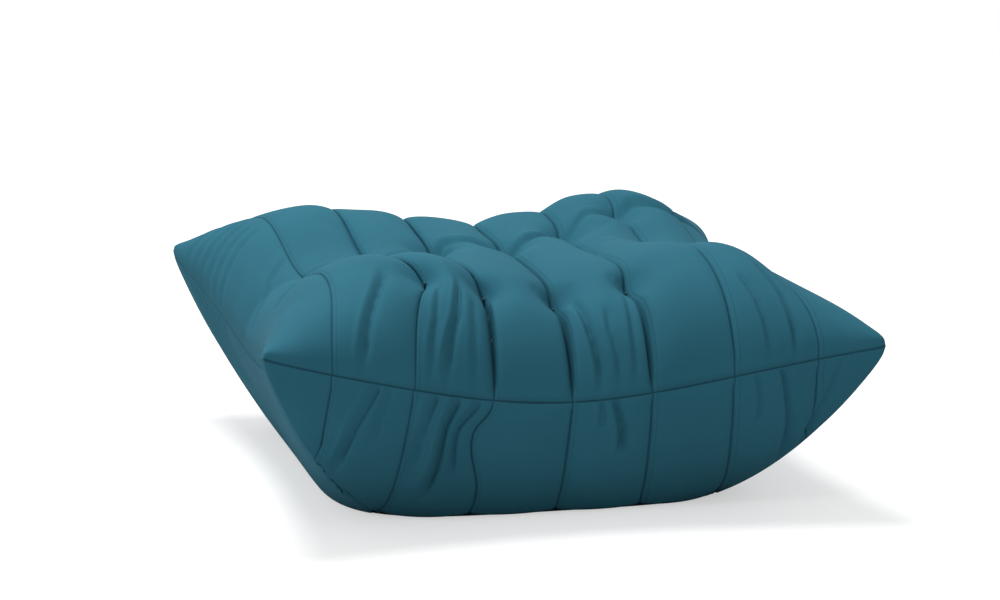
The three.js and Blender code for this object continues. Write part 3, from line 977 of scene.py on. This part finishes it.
@dataclass
class Covers:
    """The two sewn covers and the quilting behind them.

    Sizes are millimetres. Starts, fades and rises are shares, as Body takes and gives them.
    """

    body: Body
    effects: Effects
    per_channel: int = 36
    window_columns: int = 6
    crowding: float = 0.25
    rows: int = 160
    row_crowding: float = 0.75
    drop_rows: int = 36
    band_rows: int = 4
    dense: int = 801
    thickness: float = 2.2
    seam_crease: float = 0.8
    narrowness: float = 0.4
    rear_ease: float = 0.35
    rear_start: float = 0.3
    rear_fade: float = 0.3
    gap_seams: int = 1
    gap_depth: float = 18.0
    gap_width: float = 5.0
    gap_start: float = 0.66
    gap_fade: float = 0.12
    gap_clear: float = 0.2
    gap_foot: float = 0.35
    gap_rise: float = 0.8
    fold_gap: float = 18.0
    fold_rise: float = 0.3
    fold_fall: float = 0.03
    gather_fall: float = 0.05
    pinch: float = 6.0
    pinch_reach: float = 11.0
    tip_swell: float = 5.0
    tip_reach: float = 22.0
    tip_start: float = 4.0
    lower_groove: float = 8.0
    lower_groove_fall: float = 0.08
    foot_start: float = 0.8
    foot_ease: float = 0.7
    foot_scallop: float = 5.0
    corner_margin: float = 8.0
    corner_fade: float = 25.0
    window_margin: float = 0.4
    pleat_shift: float = 0.06
    pleat_width: float = 0.14
    pleat_place: float = 0.30
    pleat_length: float = 0.28
    pleat_start: float = 0.22
    fall_length: float = 240.0
    flank_hollow: float = 11.0
    flank_start: float = 0.75
    quilting_inset: float = 4.0
    quilting_thickness: float = 8.0
    quilting_foot: float = 3.0
    quilting_reach: int = 2
    quilting_retreat: float = 9.0
    retreat_height: float = 150.0
    run: ClothRun = field(default_factory=ClothRun)

    UPPER_FOLDS = (
        Fold(((-1.0, 0.10), (-0.75, -0.06), (-0.51, -0.12), (-0.26, 0.05)), 6, 24, lip=0),
        Fold(((-0.78, -0.06), (-0.51, -0.12), (-0.26, 0.05)), 5, 6),
        Fold(((-0.51, -0.25), (-0.51, -0.66)), 5, 20, lip=0),
        Fold(((-0.26, 0.05), (-0.19, 0.13), (-0.08, 0.10), (0.0, 0.05)), 12, 7),
        Fold(((0.0, 0.05), (0.12, 0.14), (0.26, 0.21)), 13, 7),
        Fold(((0.26, 0.21), (0.36, 0.33), (0.51, 0.36)), 9, 7),
        Fold(((0.51, 0.36), (0.58, 0.42), (0.75, 0.42), (1.0, 0.55)), 13, 9),
        Fold(((-0.67, -1.0), (-0.65, -0.88), (-0.61, -0.62)), 13, 5),
        Fold(((-0.46, -1.0), (-0.44, -0.90), (-0.45, -0.72)), 6, 4.5),
        Fold(((-0.41, -1.0), (-0.37, -0.88), (-0.36, -0.66)), 13, 5),
        Fold(((-0.32, -1.0), (-0.31, -0.92), (-0.31, -0.78)), 6, 4.5),
        Fold(((0.09, -1.0), (0.07, -0.90), (0.05, -0.70)), 12, 5),
        Fold(((0.15, -1.0), (0.13, -0.90), (0.13, -0.80)), 6, 4.5),
        Fold(((0.20, -1.0), (0.20, -0.92), (0.21, -0.74)), 5, 4.5),
        Fold(((0.62, -1.0), (0.60, -0.88), (0.57, -0.76)), 7, 5),
        Fold(((0.70, -1.0), (0.69, -0.86), (0.66, -0.68)), 11, 5),
        Fold(((-0.97, -0.03), (-0.88, 0.08), (-0.76, 0.18)), 7, 4.5),
        Fold(((-0.92, -0.30), (-0.80, -0.24), (-0.66, -0.26)), 6, 5),
    )
    LOWER_FOLDS = (
        Fold(((-0.64, 0.0), (-0.69, 0.25), (-0.73, 0.60)), 13, 5),
        Fold(((-0.60, 0.0), (-0.62, 0.22), (-0.63, 0.40)), 7, 4.5),
        Fold(((-0.45, 0.0), (-0.48, 0.30), (-0.50, 0.65)), 11, 5),
        Fold(((-0.38, 0.0), (-0.40, 0.30), (-0.43, 0.80)), 13, 5),
        Fold(((-0.31, 0.0), (-0.34, 0.25), (-0.36, 0.60)), 10, 5),
        Fold(((0.10, 0.0), (0.10, 0.20)), 8, 4.5),
        Fold(((0.14, 0.0), (0.165, 0.20), (0.17, 0.42)), 13, 5),
        Fold(((0.60, 0.0), (0.61, 0.20), (0.60, 0.34)), 7, 4.5),
        Fold(((0.68, 0.0), (0.70, 0.30), (0.70, 0.70)), 12, 5),
        Fold(((0.86, 0.05), (0.80, 0.35), (0.76, 0.60)), 7, 5),
    )
    DENTS = (
        Dent((-0.62, 0.60), (0.22, 0.30), 6),
        Dent((-0.90, -0.55), (0.10, 0.30), 10),
        Dent((0.05, 0.60), (0.18, 0.20), -6),
        Dent((-0.43, 0.58), (0.11, 0.25), 12),
        Dent((0.58, 0.60), (0.12, 0.20), -5),
        Dent((0.88, 0.57), (0.13, 0.25), 22),
        Dent((0.85, -0.58), (0.14, 0.40), 25),
    )
    GATHERS = tuple(0.42 + 0.075 * k for k in range(6))
    UPPER_GATHERS = tuple(Fold(((-1.0, v), (-0.80, v + 0.05)), 4.5, 5, 0.2) for v in GATHERS)
    LOWER_GATHERS = tuple(Fold(((v, 0.0), (v - 0.05, 0.5)), 5, 5) for v in GATHERS)

    # The knots of a seamed panel, from the left: edge, seam, seam, window, seam, seam, and so on.
    SEAM_KNOTS = (1, 2, 4, 5, 6, 8, 9)
    WINDOW_KNOTS = (3, 7)

    def cusp(self, offset: Array) -> Array:
        """1 on a seam, falling steeply and then gently to 0 half a channel away."""
        return 1 - np.sin(np.pi * np.clip(offset, 0, 0.5)) ** self.narrowness

    def columns(self) -> Array:
        """Shares of the half width at which the upper cover has a line of points."""
        size = self.body.layout
        knots = np.array([-1.0, *(seam * size.seam_step for seam in size.seams), 1.0])
        return self.between(knots, (self.per_channel,) * (len(knots) - 1))

    def between(self, knots: Array, counts: tuple[int, ...]) -> Array:
        """Steps between neighbouring knots, closer together near each knot.

        Args:
            knots: The knots, in order.
            counts: How many steps each gap between knots takes.

        Returns:
            The places of the steps, with every knot among them.
        """
        runs = []
        for start, end, count in zip(knots, knots[1:], counts):
            share = np.linspace(0, 1, count, endpoint=False)
            share = share - self.crowding * np.sin(2 * np.pi * share) / (2 * np.pi)
            runs.append(start + (end - start) * share)
        return np.concatenate([*runs, knots[-1:]])

    def rows_v(self) -> Array:
        """Shares of the half depth at which the upper cover has a line of points."""
        lines = np.sin(np.linspace(-1, 1, self.rows + 1) * np.pi / 2 * self.row_crowding)
        return lines / lines[-1]

    def hollow(self, u: Array, share: Array) -> Array:
        """How far the flanks of the lower cover lie inside the smooth body."""
        side = ease((np.abs(u) - self.flank_start) / (1 - self.flank_start))
        return self.flank_hollow * side * np.sin(np.pi * share)

    def seam_shaped(self, points: Array, waist: Array, side: int) -> Array:
        """Points near the waist seam, pinched into it, and swollen beside the ear tips.

        Args:
            points: The cover's points.
            waist: Height of the waist seam at each point.
            side: 1 above the waist and -1 below it.

        Returns:
            The points once they have moved.
        """
        size = self.body.layout
        height = np.abs(points[..., 2] - waist)
        corner = np.clip((waist - size.waist) / (size.ear - size.waist), 0, 1)
        pinched = self.pinch * np.exp(-height / self.pinch_reach) * (1 - corner**3)
        made = points - self.body.outward(points) * pinched[..., None]
        tip = (size.width / 2, size.depth / 2)
        away = np.hypot(np.abs(points[..., 0]) - tip[0], np.abs(points[..., 1]) - tip[1])
        swell = self.tip_swell * bell(away, self.tip_reach) * ease(height / self.tip_start)
        made[..., 2] += side * swell
        return made

    @staticmethod
    def creased(
        folds: tuple[Fold, ...], across: Array, along: Array, size: tuple[float, float]
    ) -> tuple[Array, Array]:
        """The folds of a piece of cloth.

        Args:
            folds: The folds.
            across: First shares of the points.
            along: Second shares of the points.
            size: Lengths in millimetres that a share of 1 stands for.

        Returns:
            How deep the folds are at each point, and how firmly they hold it.
        """
        depth, hold = np.zeros_like(across), np.zeros_like(across)
        for fold in folds:
            amount = fold.amount(across, along, size)
            depth += fold.depth * amount
            hold = np.maximum(hold, amount * fold.hold)
        return depth, hold

    def upper_pull(self, u: Array, v: Array, rise: Array, tufts: list[Array]) -> Array:
        """How far seams, gaps, tufts and dents pull the upper cover in.

        Args:
            u: Shares of the half width.
            v: Shares of the half depth.
            rise: How far each point has risen from the waist, from 0 to 1.
            tufts: Distances of the points from each tuft.

        Returns:
            Depths in millimetres.
        """
        size = self.body.layout
        seam, offset = self.body.seam_offset(u)
        depth = size.groove - size.groove_fade * seam**2
        shallow = 1 - self.rear_ease * ease((v - self.rear_start) / self.rear_fade)
        pull = depth * self.cusp(offset) * shallow * np.sqrt(rise)
        gap = ease((-self.gap_start - v) / self.gap_fade) * ease(rise / self.gap_clear)
        gap *= np.where(np.abs(seam) <= self.gap_seams, 1.0, 0.0)
        gap *= self.gap_depth * (self.gap_foot + (1 - self.gap_foot) * ease(rise / self.gap_rise))
        pull += gap * bell(offset * size.pitch, self.gap_width)
        for away in tufts:
            pull += size.tuft_depth * rise * shallow * bell(away, size.tuft_reach)
        return pull + sum(dent.amount(u, v) for dent in self.DENTS) * rise

    def upper_patch(self) -> Patch:
        """The upper cover before it is inflated.

        Returns:
            Its cloth.
        """
        size = self.body.layout
        u, v = np.meshgrid(self.columns(), self.rows_v(), indexing="ij")
        base, rise = self.body.crown(u, v)
        tufts = [np.hypot(base[..., 0] - c[0], base[..., 1] - c[1]) for c in self.body.tufts]
        pull = self.upper_pull(u, v, rise, tufts)
        places = (size.width / 2, size.depth / 2)
        folds, hold = self.creased((*self.UPPER_FOLDS, *self.UPPER_GATHERS), u, v, places)
        folds *= ease(rise / self.fold_rise)
        for away in tufts:
            folds *= 1 - bell(away, self.fold_gap)
        seamed = self.body.seam_offset(u)[1] < SAME
        hold = np.where(seamed, 1.0, hold)
        hold[[0, -1], :] = 1
        hold[:, [0, -1]] = 1
        smooth = self.seam_shaped(base, self.body.waist_height(u, v), 1)
        steps = np.linalg.norm(np.diff(smooth, axis=1), axis=-1)
        length = np.concatenate([np.zeros((len(u), 1)), np.cumsum(steps, 1)], 1)
        from_waist = np.minimum(length, length[:, -1:] - length)
        return Patch(
            name="upper_cover_cloth",
            points=smooth - self.body.outward(base) * pull[..., None],
            smooth=smooth,
            folds=folds,
            cell_uv=corners(np.stack([u * size.width / 2, from_waist], -1) * MM),
            ring=False,
            hold=hold,
            seam=seamed,
            kept=np.ones((u.shape[0] - 1, u.shape[1] - 1), bool),
        )

    def fall(self, waist: Array, row: int) -> Array:
        """How far down from the waist a row of the lower cover lies.

        Args:
            waist: Heights of the waist seam.
            row: The row's number, 0 on the floor.

        Returns:
            Values from 0 at the waist to 1 on the floor, as Body.lower takes them.
        """
        shares = np.linspace(0, 1, 201)
        down = fallen(shares)
        window = self.body.layout.window
        if row < self.band_rows:
            return np.interp(1 - window * row / self.band_rows / waist, down, shares)
        top = np.interp(1 - window / waist, down, shares)
        return top * (self.drop_rows - (row - self.band_rows)) / self.drop_rows

    def drag(self, u: Array, w: Array) -> Array:
        """Where points of the front panel lie once its pleat has dragged a seam to the left.

        Args:
            u: Shares of the half width.
            w: From 0 at the waist to 1 on the floor.

        Returns:
            New shares of the half width.
        """
        near = bell(u + self.body.layout.seam_step, self.pleat_width)
        down = bell(w - self.pleat_place, self.pleat_length) * ease(w / self.pleat_start)
        return u - self.pleat_shift * near * down

    def panel_counts(self) -> tuple[int, ...]:
        """How many columns lie between neighbouring knots of a seamed panel.

        Returns:
            The counts, from the left edge to the right one.
        """
        full, short = self.per_channel, self.window_columns
        half = (full, full - short, short, full, full)
        return half[::-1] + half

    def seam_row(self, side: int, row: int) -> SeamRow:
        """One row of a seamed panel, with its columns along the seams.

        Args:
            side: -1 for the front panel and 1 for the rear one.
            row: The row's number, 0 on the floor.

        Returns:
            The row, from left to right.
        """
        size = self.body.layout
        pitch = size.seam_step * size.half_width
        u_dense = np.linspace(-1, 1, self.dense)
        v_dense = np.full_like(u_dense, side)
        waist_dense = self.body.crown(u_dense, v_dense)[0][:, 2]
        w_dense = self.fall(waist_dense, row)
        x_dense = self.body.lower(u_dense, v_dense, w_dense)[:, 0]
        spread = 1 + size.seam_spread * (1 - row / (self.band_rows + self.drop_rows))
        edge = x_dense[-1] / spread
        outer = min(size.outer_seam * pitch, edge - self.corner_margin)
        window = (size.zip_length / 2 + self.window_margin) / spread
        half = [pitch, window, 2 * pitch, outer, edge]
        knots = np.array([-knot for knot in reversed(half)] + [0.0] + half)
        place = self.between(knots, self.panel_counts())
        u = np.interp(place * spread, x_dense, u_dense)
        w = np.interp(u, u_dense, w_dense)
        if side < 0:
            u = self.drag(u, w)
        return SeamRow(
            points=self.body.lower(u, np.full_like(u, side), w),
            place=place / pitch,
            share=w,
            waist=np.interp(u, u_dense, waist_dense),
            across=u,
            clear=float(ease((edge - size.outer_seam * pitch) / self.corner_fade)),
        )

    def seamed_panel(self, side: int) -> Panel:
        """A panel of the lower cover with channel seams.

        Args:
            side: -1 for the front panel and 1 for the rear one.

        Returns:
            The panel.
        """
        size = self.body.layout
        pitch = size.seam_step * size.half_width
        rows = [self.seam_row(side, row) for row in range(self.band_rows + self.drop_rows + 1)]
        made, place, share, waist, across = (
            np.stack([getattr(row, name) for row in rows], 1)
            for name in ("points", "place", "share", "waist", "across")
        )
        clear = np.array([row.clear for row in rows])
        near = np.clip(np.round(place), -size.outer_seam, size.outer_seam)
        offset = np.clip(np.abs(place - near), 0, 0.5)
        ends = np.cumsum((0, *self.panel_counts()))
        seamed = np.zeros(place.shape, bool)
        seamed[ends[list(self.SEAM_KNOTS)]] = True
        cusp = np.where(seamed, 1.0, self.cusp(offset))
        cusp = np.where(np.abs(near) == size.outer_seam, cusp * clear, cusp)
        seamed &= (np.abs(near) < size.outer_seam) | (clear > 0.5)
        foot = ease((share - self.foot_start) / (1 - self.foot_start))
        depth = self.lower_groove * cusp * ease(share / self.lower_groove_fall)
        depth *= 1 - foot * (self.foot_ease if side < 0 else 1)
        folds, hold = self.creased(
            self.LOWER_FOLDS if side < 0 else (),
            place * pitch / (size.width / 2),
            share,
            (size.width / 2, self.fall_length),
        )
        folds *= ease(share / self.fold_fall)
        hold = np.where(seamed, 1.0, hold)
        smooth = self.seam_shaped(made, waist, -1)
        smooth -= self.body.outward(smooth) * self.hollow(across, share)[..., None]
        made = smooth - self.body.outward(made) * depth[..., None]
        kept = np.ones((made.shape[0] - 1, made.shape[1] - 1), bool)
        if side < 0:
            made[..., 2] += self.foot_scallop * cusp * foot
        else:
            first, last = ends[list(self.WINDOW_KNOTS)]
            kept[first:last, : self.band_rows] = False
            hold[first - 2 : last + 3, : self.band_rows + 2] = 1
        hold[[0, -1], :] = 1
        uv = np.stack([place * size.pitch, share * self.fall_length], -1) * MM
        panel = Panel(made, smooth, folds, uv, seamed, hold, kept)
        return panel.turned() if side > 0 else panel

    def plain_panel(self, side: int) -> Panel:
        """A panel of the lower cover that has no channel seams.

        Args:
            side: 1 for the right panel and -1 for the left one, which has gathers.

        Returns:
            The panel.
        """
        size = self.body.layout
        v = self.rows_v() * side
        u = np.full_like(v, side)
        waist = self.body.crown(u, v)[0][:, 2]
        rows = range(self.band_rows + self.drop_rows + 1)
        shares = [self.fall(waist, row) for row in rows]
        made = np.stack([self.body.lower(u, v, w) for w in shares], 1)
        share = np.stack(shares, 1)
        across, along, height = (np.repeat(line[:, None], len(rows), 1) for line in (u, v, waist))
        smooth = self.seam_shaped(made, height, -1)
        smooth -= self.body.outward(smooth) * self.hollow(across, share)[..., None]
        gathers = self.LOWER_GATHERS if side < 0 else ()
        folds, _ = self.creased(gathers, along, share, (size.depth / 2, self.fall_length))
        folds *= ease(share / self.gather_fall)
        hold = np.zeros(share.shape)
        hold[[0, -1], :] = 1
        uv = np.stack([np.full(share.shape, size.pitch / 2), share * self.fall_length], -1) * MM
        kept = np.ones((made.shape[0] - 1, made.shape[1] - 1), bool)
        return Panel(smooth, smooth, folds, uv, np.zeros(share.shape, bool), hold, kept)

    def lower_patch(self) -> Patch:
        """The lower cover before it is inflated: four panels sewn into a ring.

        Returns:
            Its cloth.
        """
        panels = [
            self.seamed_panel(-1),
            self.plain_panel(1),
            self.seamed_panel(1),
            self.plain_panel(-1),
        ]
        joined = {
            name: np.concatenate([getattr(panel, name)[:-1] for panel in panels])
            for name in ("points", "smooth", "folds", "seam", "hold")
        }
        starts = np.cumsum([0, *(panel.points.shape[0] - 1 for panel in panels)])[:-1]
        joined["seam"][starts] = True
        joined["hold"][:, [0, -1]] = 1
        return Patch(
            name="lower_cover_cloth",
            cell_uv=np.concatenate([corners(panel.uv) for panel in panels]),
            ring=True,
            kept=np.concatenate([panel.kept for panel in panels]),
            stretch=(1.05, 1.05, 1.04),
            **joined,
        )

    def build(self) -> None:
        """Makes both covers and both layers of quilting."""
        for patch, node, quilting in (
            (self.upper_patch(), "upper_cover", "upper_quilting"),
            (self.lower_patch(), "lower_cover", "lower_quilting"),
        ):
            settled = self.run.settle(patch)
            settled -= self.body.outward(settled) * patch.folds[..., None]
            cover = self.shell(patch, settled)
            finish_piece(cover, VELVET.material(self.effects))
            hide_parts(node)
            log.info("%s: %d points", cover.name, settled.size // 3)
            self.quilting(patch, settled, quilting)

    def shell(self, patch: Patch, settled: Array) -> bpy.types.Object:
        """A cover with its thickness.

        Args:
            patch: The cloth it is made from.
            settled: Its points once inflated.

        Returns:
            The piece.
        """
        piece = mesh_object(patch.name.replace("_cloth", "_velvet"), settled, patch.faces())
        mesh = piece.data
        layer = mesh.uv_layers.new(name="UVMap")
        layer.data.foreach_set("uv", patch.cell_uv[patch.kept].astype(np.float32).ravel())
        flags = patch.seam.reshape(-1)
        ends = np.empty(len(mesh.edges) * 2, np.int32)
        mesh.edges.foreach_get("vertices", ends)
        both = flags[ends.reshape(-1, 2)].all(1)
        crease = mesh.attributes.new("crease_edge", "FLOAT", "EDGE")
        crease.data.foreach_set("value", np.where(both, self.seam_crease, 0).astype(np.float32))
        smooth = piece.modifiers.new("smooth", "SUBSURF")
        smooth.levels = smooth.render_levels = 1
        smooth.boundary_smooth = "PRESERVE_CORNERS"
        wall = piece.modifiers.new("wall", "SOLIDIFY")
        wall.thickness = self.thickness * MM
        wall.offset = -1
        apply_modifiers(piece)
        rest_on_floor(piece)
        return piece

    def deepest_near(self, depth: Array, ring: bool) -> Array:
        """The greatest depth within a few cells of each point of a grid.

        Args:
            depth: Depths, columns by rows.
            ring: Whether the last column lies next to the first.

        Returns:
            The greatest depths.
        """
        reach = self.quilting_reach
        for axis, mode in ((0, "wrap" if ring else "edge"), (1, "edge")):
            widths = [(reach, reach) if axis == k else (0, 0) for k in (0, 1)]
            padded = np.pad(depth, widths, mode=mode)
            length = depth.shape[axis]
            starts = range(2 * reach + 1)
            shifted = [np.take(padded, range(k, k + length), axis) for k in starts]
            depth = np.max(shifted, axis=0)
        return depth

    def quilting(self, patch: Patch, settled: Array, node: str) -> None:
        """The wadding behind a cover, on a grid twice as coarse.

        Args:
            patch: The cover's cloth.
            settled: Its points once inflated.
            node: The solid that the wadding stands for.
        """
        away = self.body.outward(patch.smooth)
        depth = self.deepest_near(((patch.smooth - settled) * away).sum(-1), patch.ring)
        below = self.retreat_height - patch.smooth[..., 2]
        low = ease(below / (self.retreat_height / 2))
        inset = self.quilting_inset + self.quilting_retreat * low
        inner = patch.smooth - away * (depth + inset)[..., None]
        inner[..., 2] = np.maximum(inner[..., 2], self.quilting_foot)
        coarse = inner[::2, ::2]
        kept = patch.kept[::2, ::2] & patch.kept[1::2, 1::2]
        number = np.arange(coarse[..., 0].size).reshape(coarse.shape[:2])
        number = np.concatenate([number, number[:1]]) if patch.ring else number
        piece = mesh_object(node + "_wadding", coarse, corners(number)[kept])
        wall = piece.modifiers.new("wall", "SOLIDIFY")
        wall.thickness = self.quilting_thickness * MM
        wall.offset = -1
        finish_piece(piece, WADDING.material(self.effects))
        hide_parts(node)


@dataclass
class Innards:
    """The foam, base cloth, ties and zip, whose solids are shown as they are."""

    effects: Effects

    def dress(self) -> None:
        """Gives every solid that is shown its finish."""
        chosen = {
            "top_foam": SOFT_FOAM,
            "core_foam": MEDIUM_FOAM,
            "base_foam": FIRM_FOAM,
            "base_cloth": DUST_CLOTH,
            "tuft_tie": TWINE,
            "tuft_washer": WASHER,
            "zip_tape": ZIP_CLOTH,
            "zip_teeth": ZIP_PLASTIC,
            "zip": METAL,
        }
        for name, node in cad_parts.items():
            finish = next((f for start, f in chosen.items() if name.startswith(start)), None)
            if finish is None:
                continue
            material = finish.material(self.effects)
            if not node.material_slots:
                node.data.materials.append(material)
            for slot in node.material_slots:
                slot.material = material
            log.info("%s: %s", name, finish.name)


@dataclass
class Zip:
    """The teeth, slider and pull of the zip."""

    effects: Effects
    layout: Layout
    middle_y: float = 274.8
    middle_z: float = 15.0
    end_gap: float = 3.4
    pitch: float = 3.2
    tooth: tuple[float, float, float] = (1.9, 2.4, 2.5)
    slit: float = 0.9
    cord: tuple[float, float] = (1.4, 1.5)
    tooth_bevel: float = 0.3
    metal_bevel: float = 0.35
    doubles: float = 0.01
    flat_angle: float = 1.0
    smooth_angle: float = 40.0

    def build(self) -> None:
        """Makes both rows of teeth, and rounds the edges of the slider and the pull."""
        self.teeth(1, "zip_teeth_upper")
        self.teeth(-1, "zip_teeth_lower")
        self.rounded("zip_slider", "slider")
        self.rounded("zip_pull", "pull")

    @staticmethod
    def block(place: tuple[float, float, float], size: tuple[float, float, float]) -> None:
        """Adds a block, and leaves it the only piece that is selected.

        Args:
            place: Its middle, in millimetres.
            size: Its size, in millimetres.
        """
        bpy.ops.object.select_all(action="DESELECT")
        bpy.ops.mesh.primitive_cube_add(size=1, location=[c * MM for c in place])
        bpy.context.object.scale = [c * MM for c in size]
        bpy.ops.object.transform_apply(location=True, rotation=True, scale=True)

    def teeth(self, side: int, node: str) -> None:
        """One row of teeth on the cord that carries them.

        Args:
            side: 1 for the upper row and -1 for the lower one.
            node: The solid that the row stands for.
        """
        half = self.layout.zip_length / 2 - self.end_gap
        count = int((2 * half - self.pitch) / self.pitch)
        first = -self.pitch * (count - 1) / 2 + side * self.pitch / 4
        wide, thick, tall = self.tooth
        height = self.middle_z + side * (self.slit + tall) / 2
        self.block((first, self.middle_y, height), (wide, thick, tall))
        row = bpy.context.object
        row.name = node + "_row"
        bevel = row.modifiers.new("bevel", "BEVEL")
        bevel.width = self.tooth_bevel * MM
        bevel.segments = 1
        array = row.modifiers.new("array", "ARRAY")
        array.count = count
        array.use_relative_offset = False
        array.use_constant_offset = True
        array.constant_offset_displace = (self.pitch * MM, 0, 0)
        apply_modifiers(row)
        deep, high = self.cord
        edge = self.middle_z + side * (self.slit / 2 + tall - high / 2)
        self.block((0, self.middle_y, edge), (2 * half, deep, high))
        row.select_set(True)
        bpy.context.view_layer.objects.active = row
        bpy.ops.object.join()
        self.hard(row, ZIP_PLASTIC, "cushion", node)

    def rounded(self, node: str, moves_with: str) -> None:
        """A copy of a metal solid with its edges rounded.

        Args:
            node: The solid.
            moves_with: The body that it moves with.
        """
        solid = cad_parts[node]
        mesh = solid.data.copy()
        mesh.transform(solid.matrix_world)
        mesh.materials.clear()
        piece = bpy.data.objects.new(node + "_metal", mesh)
        bpy.context.scene.collection.objects.link(piece)
        bpy.ops.object.select_all(action="DESELECT")
        bpy.context.view_layer.objects.active = piece
        piece.select_set(True)
        bpy.ops.object.mode_set(mode="EDIT")
        bpy.ops.mesh.select_all(action="SELECT")
        bpy.ops.mesh.remove_doubles(threshold=self.doubles * MM)
        bpy.ops.mesh.dissolve_limited(angle_limit=math.radians(self.flat_angle))
        bpy.ops.object.mode_set(mode="OBJECT")
        bevel = piece.modifiers.new("bevel", "BEVEL")
        bevel.width = self.metal_bevel * MM
        bevel.segments = 3
        apply_modifiers(piece)
        self.hard(piece, METAL, moves_with, node)

    def hard(self, piece: bpy.types.Object, finish: Finish, moves_with: str, node: str) -> None:
        """Finishes a hard piece.

        Args:
            piece: The piece.
            finish: Its finish.
            moves_with: The body that it moves with.
            node: The solid that it stands for.
        """
        bpy.ops.object.select_all(action="DESELECT")
        bpy.context.view_layer.objects.active = piece
        piece.select_set(True)
        bpy.ops.object.shade_smooth_by_angle(angle=math.radians(self.smooth_angle))
        piece.data.materials.clear()
        piece.data.materials.append(finish.material(self.effects))
        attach(piece, moves_with)
        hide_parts(node)
        log.info("%s: %d faces", piece.name, len(piece.data.polygons))


# ---- Studio ---------------------------------------------------------------------------------


@dataclass(frozen=True)
class Camera:
    """Where the camera stands and how it is turned."""

    turn: float = 14.83
    tilt: float = 12.06
    roll: float = 0.83
    distance: float = 4281.75
    aside: float = -11.34
    height: float = 244.34
    lens: float = 104.83

    def build(self) -> None:
        """Makes the scene's camera."""
        turn, tilt, roll = (math.radians(a) for a in (self.turn, self.tilt, self.roll))
        ahead = Vector(
            (math.sin(turn) * math.cos(tilt), math.cos(turn) * math.cos(tilt), -math.sin(tilt))
        )
        level = Vector((math.cos(turn), -math.sin(turn), 0))
        upright = level.cross(ahead)
        right = level * math.cos(roll) + upright * math.sin(roll)
        up = upright * math.cos(roll) - level * math.sin(roll)
        place = level * self.aside + Vector((0, 0, self.height)) - ahead * self.distance
        data = bpy.data.cameras.new("camera")
        data.lens = self.lens
        data.sensor_width = 36
        data.clip_end = 100
        camera = bpy.data.objects.new("camera", data)
        turned = Matrix((right, up, -ahead)).transposed().to_4x4()
        camera.matrix_world = Matrix.Translation(place * MM) @ turned
        bpy.context.scene.collection.objects.link(camera)
        bpy.context.scene.camera = camera


@dataclass(frozen=True)
class Softbox:
    """An area light that faces the cushion."""

    name: str
    place: tuple[float, float, float]
    size: float
    power: float

    def build(self) -> None:
        """Makes the light."""
        data = bpy.data.lights.new(self.name, "AREA")
        data.shape = "DISK"
        data.size = self.size
        data.energy = self.power
        light = bpy.data.objects.new(self.name, data)
        light.location = self.place
        light.rotation_mode = "QUATERNION"
        light.rotation_quaternion = Vector(self.place).to_track_quat("Z", "Y")
        bpy.context.scene.collection.objects.link(light)


@dataclass(frozen=True)
class Studio:
    """A pale floor, a bright room, and soft lights from above and from the left."""

    lights: tuple[Softbox, ...] = (
        Softbox("key", (-0.7, 0.7, 3.9), 1.8, 140),
        Softbox("side", (-3.2, -1.3, 1.8), 0.7, 23),
    )
    floor_radius: float = 3.4
    floor_drop: float = 0.0005
    floor_tone: float = 0.6
    floor_roughness: float = 0.9
    floor_glow: float = 0.5
    room_strength: float = 0.62

    def build(self) -> None:
        """Makes the floor, the world and the lights."""
        bpy.ops.object.select_all(action="DESELECT")
        bpy.ops.mesh.primitive_circle_add(vertices=96, radius=self.floor_radius, fill_type="NGON")
        floor = bpy.context.object
        floor.name = "floor"
        floor.location.z = -self.floor_drop
        paint = bpy.data.materials.new("floor_paint")
        paint.use_nodes = True
        nodes = Nodes(paint.node_tree)
        shader = paint.node_tree.nodes["Principled BSDF"]
        shader.inputs["Base Color"].default_value = (*[self.floor_tone] * 3, 1)
        shader.inputs["Emission Color"].default_value = (1, 1, 1, 1)
        seen = nodes.add("ShaderNodeLightPath").outputs["Is Camera Ray"]
        glow = nodes.math("MULTIPLY", seen, self.floor_glow)
        paint.node_tree.links.new(glow, shader.inputs["Emission Strength"])
        shader.inputs["Roughness"].default_value = self.floor_roughness
        shader.inputs["Specular IOR Level"].default_value = 0
        floor.data.materials.append(paint)
        self.room()
        for light in self.lights:
            light.build()
        bpy.context.scene.view_settings.view_transform = "Standard"

    def room(self) -> None:
        """A soft white room, which is seen brighter than it lights."""
        world = bpy.data.worlds.new("room")
        world.use_nodes = True
        nodes = Nodes(world.node_tree)
        background = world.node_tree.nodes["Background"]
        background.inputs["Color"].default_value = (1, 1, 1, 1)
        seen = nodes.add("ShaderNodeLightPath").outputs["Is Camera Ray"]
        strength = nodes.math("MAXIMUM", seen, self.room_strength)
        world.node_tree.links.new(strength, background.inputs["Strength"])
        bpy.context.scene.world = world


def main() -> None:
    """Builds the looks in order and reports each piece."""
    logging.basicConfig(level=logging.INFO, format="%(name)s: %(message)s")
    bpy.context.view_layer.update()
    layout = Layout()
    body = Body(layout)
    effects = Effects(layout)
    Covers(body, effects).build()
    Innards(effects).dress()
    Zip(effects, layout).build()
    Studio().build()
    Camera().build()


if __name__ == "__main__":
    main()
